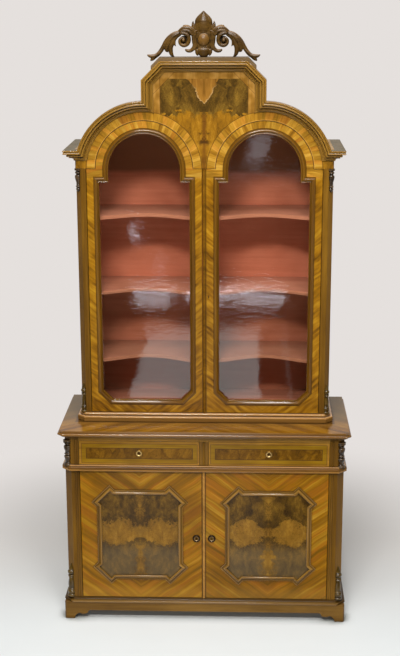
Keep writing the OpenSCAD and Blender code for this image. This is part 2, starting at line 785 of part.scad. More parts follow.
// Carved crest: a bud on a cup between two scrolled arms, one thicker than the next
module carving() {
    arm = [[60, 36, 5], [70, 66, 9], [90, 90, 10], [112, 97, 10], [134, 88, 10], [152, 66, 10], [166, 40, 11],
        [181, 15, 11], [197, -2, 9], [212, -6, 7], [226, 8, 3]];
    leaf = [[100, 84, 4], [108, 62, 9], [116, 42, 11], [122, 22, 8], [126, 4, 2]];
    tendril = [[24, 14, 6], [44, 28, 7], [62, 33, 7], [80, 46, 6]];
    bud = [[0, 90], [16, 92], [31, 112], [48, 128], [40, 134], [31, 144], [24, 158], [10, 170], [0, 181]];
    cup = [[0, 0], [36, 0], [32, 10], [20, 20], [25, 32], [30, 43], [0, 46]];
    mid = up_front - cornice / 2 + 2;
    k = carving_h / 181;
    module layer(t) {
        upright(mid - t / 2, mid + t / 2) translate([0, cap_top]) children();
    }
    color(walnut) both_sides() {
        layer(carving_t) polygon(k * concat(cup, [[0, 40]]));
        layer(carving_t) polygon(k * bud);
        layer(carving_t - 6) band([for (p = arm) [p[0] * carving_hw / 226, p[1] * k, p[2]]]);
        layer(carving_t - 10) band(k * leaf);
        layer(carving_t - 8) band(k * tendril);
        layer(carving_t - 2) translate(k * [82, 63]) circle(r = 25 * k);
    }
    color(walnut) layer(carving_t + 6) translate([0, 68 * k]) circle(r = 28 * k);
}

module case_shelves() {
    n = 24;
    x1 = up_door_x - seat;
    x2 = up_in - seat;
    y1 = up_post_back + seat;
    mid_y = face_back + 6 + shelf_wave;
    wave = [for (i = [-n:n]) [x1 * i / n, mid_y - shelf_wave * cos(180 * x1 * i / n / arch_x)]];
    color(paint) for (h = [shelf_low, shelf_mid, shelf_high])
        translate([0, 0, top_z + h - shelf_t]) linear_extrude(shelf_t)
            polygon(concat([[-x2, y1], [-x1, y1]], wave, [[x1, y1], [x2, y1], [x2, up_panel_y], [-x2, up_panel_y]]));
}

module shelf_battens() {
    color(raw) for (h = [shelf_low, shelf_mid, shelf_high])
        both_sides() block([up_in - batten, up_post_back + 12, top_z + h - shelf_t - batten],
            [up_in, up_panel_y - 12, top_z + h - shelf_t]);
}

module pin_plate(axis, z, dir) {
    plate_at(axis, min(z, z - dir * plate_t), max(z, z - dir * plate_t));
    translate([axis[0], axis[1], min(z - dir * plate_t, z + dir * pin_len)])
        cylinder(h = pin_len + plate_t, r = pin_r, $fn = 32);
}

module pivot_pins() {
    color(iron) both_sides() {
        pin_plate(low_axis, floor_z, 1);
        pin_plate(low_axis, rail_z, -1);
        pin_plate(up_axis, up_floor, 1);
        pin_plate(up_axis, shoulder, -1);
    }
}

// Plates let into a door's ends, with bores that run on the pins
module door_pivots(axis, z0, z1) {
    color(iron) difference() {
        union() {
            plate_at(axis, z0, z0 + plate_t);
            plate_at(axis, z1 - plate_t, z1);
        }
        translate([axis[0], axis[1], z0 - 1]) cylinder(h = z1 - z0 + 2, r = pin_r + pin_play, $fn = 32);
    }
}

// Recesses for those plates and bores for the pins' ends
module pivot_room(axis, z0, z1) {
    play = 0.2;
    deep = pin_len - gap + 1;
    plate_at(axis, z0 - 1, z0 + plate_t, play);
    plate_at(axis, z1 - plate_t, z1 + 1, play);
    for (z = [z0, z1 - deep])
        translate([axis[0], axis[1], z]) cylinder(h = deep, r = pin_r + 0.6, $fn = 32);
}

module keyhole(x, z, y0, y1, r = 3.2) {
    upright(y0, y1) {
        translate([x, z]) circle(r = r, $fn = 32);
        translate([x - r / 2, z - 3.2 * r]) square([r, 3.2 * r]);
    }
}

module lock_case(x, z, back, w, h, play = 0) {
    block([x - w / 2 - play, back - lock_t - play, z - h / 2 - play], [x + w / 2 + play, back + play, z + h / 2 + play]);
}

// Turned ring round a keyhole, standing on a front at y
module ring(x, z, y, r) {
    e = ring_h / 2;
    translate([x, y, z]) rotate([90, 0, 0]) rotate_extrude($fn = 64)
        polygon(concat([[ring_hole_r, 0], [r, 0]], arc(r - e, e, e, 0, 90, 5),
            [[ring_hole_r + e, ring_h], [ring_hole_r, e]]));
}

// Lock in a front of thickness t: its case, a ring on the face and a keyhole through the case
module lock(x, z, front, t, r, w, h) {
    color(brass) ring(x, z, front, r);
    color(iron) difference() {
        lock_case(x, z, front + t, w, h);
        keyhole(x, z, front, front + t + 1, 2.6);
    }
}

module front_cuts(x, z, front, t, w, h) {
    keyhole(x, z, front - 1, front + t - lock_t);
    lock_case(x, z, front + t + 1, w, h, seat);
    lock_case(x, z, front + t, w, h, seat);
}

drawer_ring_r = ring_r - 1.5;
drawer_lock_h = lock_h - 16;

module drawer_front(s) {
    color(golden) on_side(s) difference() {
        block([drawer_x0, low_front, drawer_z0], [low_end, box_y0, drawer_z1]);
        front_cuts(drawer_mid, drawer_key_z, low_front, drawer_front_t, lock_w, drawer_lock_h);
    }
}

module drawer_bottom(s, play = 0) {
    x0 = box_x0 + drawer_side_t - groove - play;
    x1 = box_x1 - drawer_side_t + groove + play;
    color(raw) on_side(s) block([x0, box_y0 - play, bottom_z - play],
        [x1, box_y1 - drawer_side_t + groove + play, bottom_z + drawer_bottom_t + play]);
}

module drawer_box(s) {
    t = drawer_side_t;
    top = box_z0 + drawer_side_h;
    color(raw) difference() {
        on_side(s) {
            block([box_x0, box_y0, box_z0], [box_x0 + t, box_y1, top]);
            block([box_x1 - t, box_y0, box_z0], [box_x1, box_y1, top]);
            block([box_x0 + t + seat, box_y1 - t, box_z0], [box_x1 - t - seat, box_y1, top]);
        }
        drawer_bottom(s, 0.15);
    }
}

module drawer_lock(s) {
    on_side(s) lock(drawer_mid, drawer_key_z, low_front, drawer_front_t, drawer_ring_r, lock_w, drawer_lock_h);
}

// Lower door. The right one reaches past the middle and carries the bead
module lower_door_board(s) {
    x0 = s > 0 ? -meet_right : meet_left;
    y1 = low_front + low_door_t;
    color(golden) on_side(s) difference() {
        union() {
            translate([0, 0, low_z0]) linear_extrude(low_z1 - low_z0)
                polygon([[x0, low_front], [low_end - ease, low_front], [low_end, low_front + ease],
                    [low_end, y1 - ease], [low_end - ease, y1], [x0, y1]]);
            if (s > 0) joint_bead(x0, low_front, low_z0, low_z1);
        }
        pivot_room(low_axis, low_z0, low_z1);
        front_cuts(key_x, low_key_z, low_front, low_door_t, lock_w, lock_h);
    }
}

// Half round bead along the joint of two doors
module joint_bead(x0, front, z0, z1) {
    r = bead_w / 2;
    translate([x0 + r, front, z0]) intersection() {
        cylinder(h = z1 - z0, r = r, $fn = 48);
        block([-r, -bead_h, 0], [r, 2, z1 - z0]);
    }
}

// Corner points of the octagon with ears, for one quarter, drawn in by d
oct_flat_z = oct_flat + oct_hh - oct_hw;
function oct_quarter(d) = let (k = sqrt(2)) [[oct_flat + (k - 1) * d, oct_hh - d],
    [oct_flat + oct_ear, oct_hh + oct_ear - k * d], [oct_hw + oct_ear - k * d, oct_flat_z + oct_ear],
    [oct_hw - d, oct_flat_z + (k - 1) * d]];
function upside_down(pts) = [for (i = [len(pts) - 1:-1:0]) [pts[i][0], -pts[i][1]]];
function octagon(d) = let (right = concat(oct_quarter(d), upside_down(oct_quarter(d))))
    concat(right, other_side(right));

// Height of the strip by the distance from its outer edge
strip_steps = [[0, 0.45], [0.15, 0.8], [0.3, 1], [0.6, 0.7], [0.8, 0.4]];

module lower_door_moulding(s) {
    color(walnut) on_side(s) translate([oct_x, 0, oct_z])
        for (step = strip_steps)
            upright(low_front - step[1] * strip_h, low_front) difference() {
                polygon(octagon(step[0] * strip_w));
                polygon(octagon(strip_w));
            }
}

module lower_door_lock(s) {
    on_side(s) lock(key_x, low_key_z, low_front, low_door_t, ring_r, lock_w, lock_h);
}

module lower_door_pivots(s) {
    on_side(s) door_pivots(low_axis, low_z0, low_z1);
}

// Outline of the sash moulding, drawn in by d
function sash(d) =
    let (a = sash_hw - d, b = sash_z0 + d, c = sash_cut - d * k45, r = sash_hw - sash_step - d, z = sash_z1 - d,
        right = concat([[a - c, b], [a, b + c], [a, z], [r, z]], arc(0, arch_z, r, 0, 90, 22)))
    concat(right, other_side([for (i = [0:len(right) - 2]) right[i]]));

module sash_ring(d0, d1, y0, y1) {
    translate([arch_x, 0, 0]) upright(y0, y1) difference() {
        polygon(sash(d0));
        polygon(sash(d1));
    }
}

module glass_door_frame(s) {
    x0 = s > 0 ? -meet_right : meet_left;
    y1 = up_front + glass_door_t;
    color(golden) on_side(s) difference() {
        union() {
            upright(up_front, y1) {
                translate([x0, up_z0]) square([up_end - x0, up_z1 - up_z0]);
                translate([arch_x, arch_z]) circle(r = arch_r - gap, $fn = round_n);
            }
            if (s > 0) joint_bead(x0, up_front, up_z0, up_z1);
        }
        translate([arch_x, 0, 0]) upright(up_front - 1, y1 + 1) polygon(sash(sash_lip));
        translate([0, 0, up_z0 - 1]) linear_extrude(up_z1 - up_z0 + 2) {
            polygon([[up_end - ease, up_front], [up_end, up_front - 1], [up_end + 1, up_front - 1],
                [up_end + 1, up_front + ease], [up_end, up_front + ease]]);
        }
        pivot_room(up_axis, up_z0, up_z1);
        if (s > 0) front_cuts(glass_key_x, glass_key_z, up_front, glass_door_t, glass_lock_w, lock_h);
    }
}

pane_front = up_front + 12;

module glass_door_sash(s) {
    color(walnut) on_side(s) {
        sash_ring(0, sash_w, up_front - 3, up_front);
        sash_ring(sash_w * 0.2, sash_w * 0.6, up_front - 6, up_front - 2.9);
        sash_ring(sash_lip + seat, sash_w, up_front - 0.1, pane_front);
    }
}

module glass_door_pane(s) {
    color(pane_tint, 0.4) on_side(s) translate([arch_x, 0, 0])
        upright(pane_front, pane_front + glass_t) polygon(sash(sash_lip + 2));
}

module glass_door_beads(s) {
    color(walnut) on_side(s)
        sash_ring(sash_lip + seat, sash_lip + seat + glazing_w, pane_front + glass_t, up_front + glass_door_t - 1);
}

module glass_door_pivots(s) {
    on_side(s) door_pivots(up_axis, up_z0, up_z1);
}

module glass_door_right_lock() {
    color(iron) difference() {
        lock_case(glass_key_x, glass_key_z, up_front + glass_door_t, glass_lock_w, lock_h);
        keyhole(glass_key_x, glass_key_z, up_front, up_front + glass_door_t + 1, 2.6);
    }
}

plinth_front();
plinth_returns();
plinth_moulding();
lower_bottom();
lower_side(-1);  // lower_side_left
lower_side(1);  // lower_side_right
lower_posts();
lower_back();
mid_rail();
drawer_divider();
drawer_bed();
lower_shelf();
frieze_rail();
worktop();
lower_turnings();
upper_base();
upper_bottom();
upper_side(-1);  // upper_side_left
upper_side(1);  // upper_side_right
upper_posts();
upper_back();
face_board();
arch_cornices();
side_cornices();
crest_moulding();
crest_braces();
crest_cap();
roof();
carving();
upper_turnings();
case_shelves();
shelf_battens();
pivot_pins();
drawer_front(-1);  // drawer_left_front
drawer_box(-1);  // drawer_left_box
drawer_bottom(-1);  // drawer_left_bottom
drawer_lock(-1);  // drawer_left_lock
drawer_front(1);  // drawer_right_front
drawer_box(1);  // drawer_right_box
drawer_bottom(1);  // drawer_right_bottom
drawer_lock(1);  // drawer_right_lock
lower_door_board(-1);  // lower_door_left_board
lower_door_moulding(-1);  // lower_door_left_moulding
lower_door_lock(-1);  // lower_door_left_lock
lower_door_pivots(-1);  // lower_door_left_pivots
lower_door_board(1);  // lower_door_right_board
lower_door_moulding(1);  // lower_door_right_moulding
lower_door_lock(1);  // lower_door_right_lock
lower_door_pivots(1);  // lower_door_right_pivots
glass_door_frame(-1);  // glass_door_left_frame
glass_door_sash(-1);  // glass_door_left_sash
glass_door_pane(-1);  // glass_door_left_pane
glass_door_beads(-1);  // glass_door_left_beads
glass_door_pivots(-1);  // glass_door_left_pivots
glass_door_frame(1);  // glass_door_right_frame
glass_door_sash(1);  // glass_door_right_sash
glass_door_pane(1);  // glass_door_right_pane
glass_door_beads(1);  // glass_door_right_beads
glass_door_pivots(1);  // glass_door_right_pivots
glass_door_right_lock();
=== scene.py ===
"""Arched bookcase credenza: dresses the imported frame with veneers, mouldings, turnings, carving and glass."""
import math
from functools import reduce

import bmesh
import bpy
import numpy as np
from mathutils import Matrix, Vector


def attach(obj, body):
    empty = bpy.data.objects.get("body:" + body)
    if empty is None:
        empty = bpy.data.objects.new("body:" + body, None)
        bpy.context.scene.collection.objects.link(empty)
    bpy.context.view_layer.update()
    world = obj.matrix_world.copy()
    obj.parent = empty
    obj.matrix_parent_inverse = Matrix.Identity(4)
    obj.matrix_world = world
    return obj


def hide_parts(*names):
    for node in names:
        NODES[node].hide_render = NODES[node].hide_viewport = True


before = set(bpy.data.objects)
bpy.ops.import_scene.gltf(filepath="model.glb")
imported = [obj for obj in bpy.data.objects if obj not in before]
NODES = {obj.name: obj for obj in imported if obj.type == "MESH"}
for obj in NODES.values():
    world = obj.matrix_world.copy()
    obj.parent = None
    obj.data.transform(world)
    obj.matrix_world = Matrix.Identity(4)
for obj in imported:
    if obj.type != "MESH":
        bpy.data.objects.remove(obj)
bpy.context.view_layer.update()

# Sizes in millimetres, the same as the frame's
MM = 0.001
K45 = 2 - math.sqrt(2)    # growth of a corner cut for each millimetre that its outline moves out
LOW_HW, LOW_FRONT, BACK, CASE_BACK = 594, -232, 258, 256
POST_CUT, TOP_HW, TOP_FRONT, TOP_CUT = 28, 620, -258, 20
PLINTH_Z, RAIL_Z, CASE_TOP, TOP_Z = 78, 686, 839, 867
UP_HW, UP_FRONT, UP_CUT, IMPOST_Z = 530, -104, 20, 1990
ARCH_X, ARCH_Z, CORNICE_R, CORNICE, CORNICE_W = 247.25, 1951, 237, 46, 45.5
CREST_HW, CREST_TOP, CREST_CUT, CREST_LOW, CAP_TOP = 252, 2393, 75, 1981, 2407
MITRE_A, MITRE_B = (481.02, 1990), (516.65, 2036)
OCT_X, OCT_Z, OCT_HW, OCT_HH, OCT_FLAT, OCT_EAR, STRIP_W = 275.5, 392, 184.5, 207, 105.5, 22, 20
SASH_HW, SASH_Z0, SASH_Z1, SASH_CUT, SASH_STEP = 206.25, 943, 1920, 52, 38
DRAWER_LOCK, DOOR_LOCK = (275.5, 764.75), (33, 378)
SIDES = (("left", -1), ("right", 1))


def arc(cx, cy, r, a0, a1, n):
    """Points of an arc, angles in degrees."""
    turn = [math.radians(a0 + (a1 - a0) * i / n) for i in range(n + 1)]
    return [(cx + r * math.cos(t), cy + r * math.sin(t)) for t in turn]


# Moulding profiles as (projection, height) from the lower edge upwards
WORKTOP = ([(-18, 0), (-14, 0), (-14, 2)] + arc(-5, 0, 9, 168, 95, 8) + [(-5, 6.4)]
           + arc(-6.4, 12.4, 6.4, -75, 88, 16) + [(-7.6, 18.9), (-7.6, 19.6), (-7.6, 28)])
PLINTH = ([(-2, 0), (17, 0), (18, 2)] + arc(14.6, 5.4, 3.4, -10, 95, 8) + [(13.4, 9.2)]
          + arc(13.4, 19, 10, 265, 186, 12) + [(3, 20), (-2, 20)])
RAIL = ([(-2, 0), (11.4, 0)] + arc(-7.9, 0.6, 20.5, 0, 62, 12) + [(2.0, 19.8), (2.4, 20.4), (7.4, 20.6)]
        + arc(7.4, 22.3, 1.7, -80, 90, 8) + [(-2, 24)])
BASE = ([(-2, 0), (17, 0), (17, 1.5), (19, 2.2), (19, 18.5)] + arc(14, 18.5, 5, 0, 90, 6) + [(7, 23.6)]
        + arc(2.4, 30, 7, -60, 90, 14) + [(-2, 37)])
# Panel moulding and sash as (distance from the outer edge, projection or depth)
PANEL = ([(0, -0.5), (0, 3.8), (0.7, 5.0), (1.9, 5.5), (3.2, 5.2), (4.2, 4.4), (5.4, 4.0), (7.4, 4.5), (9.2, 5.4),
          (10.5, 6.4)] + arc(15.2, 5.2, 4.8, 155, 8, 12) + [(20, 4.6), (20, -0.5)])
SASH = [(0, 0.5), (0, -2.4), (0.8, -3.2), (2.4, -3.4), (3.6, -4.6), (5.4, -5.8), (7.4, -6), (9.4, -5.6),
        (10.6, -4.4), (12.0, -2.6), (14.0, -1.0), (15.6, -0.4), (16.4, -1.2), (17.8, -1.8), (19.2, -1.2), (20, 0.4),
        (20, 12)]


def cornice_profile():
    """Cornice as (distance from its inner edge, projection): cove, groove, ovolo, groove, crown and bead."""
    cove = [(3 + 9.6 * math.sin(t), 5 + 17.6 * (1 - math.cos(t))) for t in np.linspace(0, math.pi / 2, 12)]
    ovolo = [(17.3 + 6.2 * (1 - math.cos(t)), 26 + 6.4 * math.sin(t)) for t in np.linspace(0, math.pi / 2, 9)]
    crown = [(24.2, 32.6), (24.6, 29.5), (27.8, 29.5), (28.3, 41.5), (29, 43.8), (31.2, 45.5), (33.6, 46),
             (35, 45.2), (35.8, 42.8), (38.2, 42.8), (39.2, 44.6), (41, 45.8), (43, 46), (44.8, 45.2),
             (45.5, 43.4), (45.5, 0)]
    return [(0, 0), (0, 4), (1, 5)] + cove + [(13.3, 24), (13.7, 21), (16.9, 21)] + ovolo + crown


CORNICE_LINE = cornice_profile()


# Pieces of mesh

def linked(name, data):
    obj = bpy.data.objects.new(name, data)
    bpy.context.scene.collection.objects.link(obj)
    return obj


def riding(name, mesh, body="root", replaces=None, slot="walnut_dark"):
    """Makes a mesh a piece that rides on a body, in place of a CAD node if one is named."""
    obj = linked(name, mesh)
    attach(obj, body)
    if replaces:
        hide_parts(replaces)


def solid_mesh(name, verts, faces):
    """Mesh from points in millimetres."""
    mesh = bpy.data.meshes.new(name)
    mesh.from_pydata([tuple(MM * c for c in v) for v in verts], [], faces)
    return mesh


def face_outwards(mesh):
    bm = bmesh.new()
    bm.from_mesh(mesh)
    bmesh.ops.recalc_face_normals(bm, faces=bm.faces)
    bm.to_mesh(mesh)
    bm.free()


def bends(a, b, c):
    """True where a path turns sharply at b."""
    u, v = Vector(b) - Vector(a), Vector(c) - Vector(b)
    return u.length > 0 and v.length > 0 and u.angle(v) > math.radians(18)


def skin(rows, closed=False, lids=(), caps=True):
    """Points, faces, corner UVs and the faces' materials over rows of points. UVs run in metres along and
    across the rows. Each lid is a row that is filled in, and its material's index."""
    n, m = len(rows), len(rows[0])
    steps = m if closed else m - 1
    mid = rows[n // 2]
    along, run, runs = [0.0], 0, []
    for j in range(steps):
        along.append(along[-1] + (Vector(mid[(j + 1) % m]) - Vector(mid[j])).length * MM)
        if j > 0 and bends(mid[j - 1], mid[j], mid[(j + 1) % m]):
            run += 1
        runs.append(run)
    across = [0.0]
    for i in range(1, n):
        across.append(across[-1] + (Vector(rows[i][0]) - Vector(rows[i - 1][0])).length * MM)
    faces, uvs, which = [], [], []
    for i in range(n - 1):
        for j in range(steps):
            k = (j + 1) % m
            faces.append((i * m + j, i * m + k, (i + 1) * m + k, (i + 1) * m + j))
            # Each straight run gets its own part of the wood
            uvs += [(along[a] + runs[j] * 1.371, across[b] + runs[j] * 0.613)
                    for a, b in ((j, i), (j + 1, i), (j + 1, i + 1), (j, i + 1))]
            which.append(0)
    if caps and not closed:
        for j in (0, m - 1):
            faces.append(tuple(i * m + j for i in range(n)))
            uvs += [(across[i], 0.3 + along[j]) for i in range(n)]
            which.append(0)
    for row, index in lids:
        faces.append(tuple(row * m + j for j in range(m)))
        uvs += [(x * MM, y * MM) for x, y, _ in rows[row]]
        which.append(index)
    return [p for row in rows for p in row], faces, uvs, which


def swept(name, rows, *materials, closed=False, lids=(), caps=True, angle=32, **settings):
    """A piece over rows of points, sharp where its faces meet at more than the angle."""
    verts, faces, uvs, which = skin(rows, closed, lids, caps)
    mesh = solid_mesh(name, verts, faces)
    mesh.uv_layers.new(name="UVMap").data.foreach_set("uv", np.array(uvs, float).ravel())
    for material in materials:
        mesh.materials.append(material)
    mesh.polygons.foreach_set("material_index", which)
    face_outwards(mesh)
    mesh.shade_smooth()
    mesh.set_sharp_from_angle(angle=math.radians(angle))
    riding(name, mesh, **settings)


def plan(hw, front, back, cut, p):
    """Plan outline of a case with cut corners, p millimetres out."""
    c = cut + p * K45
    return [(-hw - p, back), (-hw - p, front - p + c), (-hw - p + c, front - p),
            (hw + p - c, front - p), (hw + p, front - p + c), (hw + p, back)]


def plan_rows(profile, z, hw, front, back, cut):
    return [[(x, y, z + h) for x, y in plan(hw, front, back, cut, p)] for p, h in profile]


# Shader nodes

def rgb(r, g, b):
    """A colour given as it shows on screen, 0 to 255."""
    part = [v / 255 for v in (r, g, b)]
    return tuple([v / 12.92 if v <= 0.04045 else ((v + 0.055) / 1.055) ** 2.4 for v in part] + [1.0])


def three(given, rest):
    """Three numbers from a single one, or from up to three and the rest."""
    return (given + (rest,) * 3)[:3] if isinstance(given, tuple) else (given,) * 3


def signs(operation):
    """The two methods of an arithmetic sign, for a value before it and after it."""
    return (lambda a, b: a.shader.math(operation, a, b)), (lambda a, b: a.shader.math(operation, b, a))


class Value:
    """A node's output, which plain arithmetic turns into more nodes."""
    __add__, __radd__ = signs("ADD")
    __sub__, __rsub__ = signs("SUBTRACT")
    __mul__, __rmul__ = signs("MULTIPLY")
    __truediv__, __rtruediv__ = signs("DIVIDE")

    def __init__(self, shader, socket):
        self.shader, self.socket = shader, socket

    def __abs__(self):
        return self.shader.math("ABSOLUTE", self)


class Shader:
    """One node tree, with short calls for its nodes. Its colour is what has been laid so far."""

    def __init__(self, name, owner=None):
        self.owner = owner or bpy.data.materials.new(name)
        self.owner.use_nodes = True
        self.tree = self.owner.node_tree
        self.tree.nodes.clear()

    def node(self, kind, inputs=(), **settings):
        n = self.tree.nodes.new("ShaderNode" + kind)
        for key, value in settings.items():
            setattr(n, key, value)
        for key, value in dict(inputs).items():
            if isinstance(value, Value):
                self.tree.links.new(value.socket, n.inputs[key])
            else:
                n.inputs[key].default_value = value
        return n

    def get(self, kind, output, inputs=(), **settings):
        """One output of a new node."""
        return Value(self, self.node(kind, inputs, **settings).outputs[output])

    def coord(self, kind="Object"):
        return self.get("TexCoord", kind)

    def axes(self, vector=None):
        n = self.node("SeparateXYZ", {0: vector or self.coord()})
        return [Value(self, out) for out in n.outputs]

    def point(self, vector):
        """A vector as it is, or made from up to three values."""
        return self.get("CombineXYZ", 0, dict(enumerate(vector))) if isinstance(vector, tuple) else vector

    def shape(self, kind):
        return self.get("NewGeometry", kind)

    def open_to(self, distance, samples=6):
        """1 where nothing stands near, 0 in corners."""
        return self.get("AmbientOcclusion", "AO", {"Distance": distance}, samples=samples)

    def random(self, value):
        return self.get("TexWhiteNoise", "Value", {"W": value}, noise_dimensions="1D")

    def math(self, operation, a, b=0.0):
        return self.get("Math", 0, {0: a, 1: b}, operation=operation)

    def both(self, *masks):
        return reduce(lambda a, b: self.math("MINIMUM", a, b), masks)

    def most(self, *masks):
        return reduce(lambda a, b: self.math("MAXIMUM", a, b), masks)

    def radius(self, u, v):
        return self.math("SQRT", u * u + v * v)

    def step(self, value, lo, hi):
        """0 below lo and 1 above hi, smooth between; hi below lo turns it round."""
        return self.get("MapRange", 0, {0: value, 1: lo, 2: hi, 3: 0.0, 4: 1.0}, interpolation_type="SMOOTHSTEP")

    def line(self, value, at, half, soft=0.0008):
        """1 within half of a place, 0 outside."""
        return self.step(abs(value - at), half + soft, half)

    def noise(self, vector, scale=1, shift=(), detail=3.0, rough=0.55, distortion=0.0):
        moved = self.get("Mapping", 0, {"Vector": self.point(vector), "Scale": three(scale, 1),
                                        "Location": three(shift, 0)})
        return self.get("TexNoise", "Fac", {"Vector": moved, "Scale": 1.0, "Detail": detail, "Roughness": rough,
                                            "Distortion": distortion})

    def mix(self, fac, a, b):
        a, b = [rgb(*c) if isinstance(c, tuple) else c for c in (a, b)]
        return self.get("Mix", 2, {0: fac, 6: a, 7: b}, data_type="RGBA")

    def ramp(self, fac, stops):
        n = self.node("ValToRGB", {0: fac})
        row = n.color_ramp.elements
        while len(row) < len(stops):
            row.new(0.5)
        for e, (place, *colour) in zip(row, stops):
            e.position, e.color = place, rgb(*colour)
        return Value(self, n.outputs[0])

    def lay(self, mask, colour):
        """Lays a colour over what is there."""
        self.colour = self.mix(mask, self.colour, colour)

    def bump(self, height, strength, distance):
        return self.get("Bump", 0, {"Height": height, "Strength": strength, "Distance": distance})

    def finish(self, rough, height, strength, distance=0.0003, coat=(0.12, 0.15), metallic=0.0):
        """Principled surface and output. The coat is its weight and roughness."""
        shader = self.get("BsdfPrincipled", 0, {
            "Base Color": self.colour, "Roughness": rough, "Specular IOR Level": 0.1, "Metallic": metallic,
            "Coat Weight": coat[0], "Coat Roughness": coat[1], "Normal": self.bump(height, strength, distance)})
        self.node("OutputMaterial", {0: shader})
        return self.owner

    def blend(self, amount, first, second, output="OutputMaterial"):
        """Mix of two shaders, and output."""
        self.node(output, {0: self.get("MixShader", 0, {0: amount, 1: first, 2: second})})
        return self.owner


def tone(s, vector, broad=(1.5, 14, 14), fine=(5, 170, 170), shift=()):
    """Wood figure from 0 to 1 along a vector's first axis, and the fine grain by itself."""
    vector = s.point(vector)
    wide = s.noise(vector, broad, shift, 3, 0.55, 0.35)
    thin = s.noise(vector, fine, shift, 4, 0.6, 0.15)
    return wide * 0.62 + thin * 0.38, thin


def worn_and_shaded(s, dark=0.35, shift=(), corner_shade=0.75):
    """Uneven old polish: slow light and dark patches over the colour, and painted shade in the corners."""
    patch = s.noise(s.coord(), (5, 5, 4), shift, 3, 0.6)
    s.lay(s.step(patch, 0.42, 0.75), s.mix(dark, s.colour, (54, 32, 8)))
    # Painted shade in the corners, where little light reaches
    s.lay(s.step(s.open_to(0.014), 0.9, 0.3) * corner_shade, (34, 20, 6))


def shades(*colours):
    """Four stops of a wood from its dark to its light parts."""
    return [(place, *colour) for place, colour in zip((0.25, 0.45, 0.6, 0.78), colours)]


WALNUT = shades((58, 34, 10), (92, 60, 20), (114, 76, 28), (138, 98, 42))
OLIVE = [(0.25, 66, 42, 8), (0.45, 96, 64, 12), (0.6, 116, 80, 18), (0.8, 140, 100, 28)]


def moulding_material(name, stops, rough=0.33, shift=(), light=(180, 134, 74), corner_shade=0.75, dusty=False,
                      painted_shade_depth=None, under=0.0, shelf=0.0, painted_light_below=0.0):
    """Polished walnut with its grain along the moulding's own length, its edges lightened: partly rubbed wear, partly
    painted highlight.
    Dust, partly a painted sheen, lies where it is flat and low; hollow is the depth, in metres, behind which a
    painted shade keeps it dark;
    under paints shade on faces that don't look up, shelf paints light on the flat tops and painted_light_below paints
    light on faces that look down."""
    s = Shader(name)
    figure, thin = tone(s, s.coord("UV"), (0.9, 60, 1), (3, 600, 1), shift)
    s.colour = s.ramp(figure, stops)
    worn_and_shaded(s, 0.3, shift, corner_shade)
    # Edges and ridges lightened: partly rubbed wear, partly painted highlight
    rub = s.noise(s.coord(), 30, (5, 1, 2), 3)
    s.lay(s.step(s.shape("Pointiness"), 0.515, 0.6) * ((0.5 + rub * 0.5) * 0.25), light)
    gloss, coat = rough - 0.1 + thin * 0.2, 0.75
    _, y, z = s.axes()
    up = s.axes(s.shape("Normal"))[2]
    # Painted shade on faces that don't look up, painted light on flat tops and on faces that look down
    s.lay(s.step(up, 0.25, -0.05) * under, (74, 46, 8))
    s.lay(s.step(up, 0.8, 0.97) * shelf, (206, 162, 116))
    s.lay(s.step(up, 0.15, -0.3) * painted_light_below, (186, 136, 52))
    if dusty:
        # Dust on flat low tops, partly a painted sheen
        dust_and_sheen = s.both(s.step(up, 0.9, 0.98), s.step(z, 2.05, 2.04)) * (0.6 + s.noise(s.coord(), 18) * 0.4)
        s.lay(dust_and_sheen, (84, 82, 70))
        gloss, coat = gloss + dust_and_sheen * 0.35, 0.6 - dust_and_sheen * 0.6
    if painted_shade_depth is not None:
        # Painted shade where the moulding lies deeper than the given depth
        deep = s.step(y, painted_shade_depth - 0.001, painted_shade_depth + 0.001)
        s.lay(deep * 0.75, (52, 34, 10))
        coat = 0.75 - deep * 0.65
    return s.finish(gloss, thin, 0.03, coat=(coat, 0.13))


BARE = (0.0, 0.03)    # no coat


def board_material(name, stops, grain, rough=0.4, wear=0.3, shift=(), broad=(1.5, 14, 14)):
    """Board whose grain follows one of the frame's axes."""
    s = Shader(name)
    x, y, z = s.axes()
    order = {"x": (x, y, z), "y": (y, x, z), "z": (z, x, y)}[grain]
    figure, thin = tone(s, order, broad, (5, 220, 220), shift)
    s.colour = s.ramp(figure, stops)
    worn_and_shaded(s, wear, shift)
    return s.finish(rough - 0.1 + thin * 0.2, thin, 0.15, 0.0004, (0.12, 0.18))


def slanted(z, off, wave, degrees):
    """Places across and along veneer that is laid in a V."""
    lean = math.radians(degrees)
    return z * math.cos(lean) - off * math.sin(lean) + wave, z * math.sin(lean) + off * math.cos(lean)


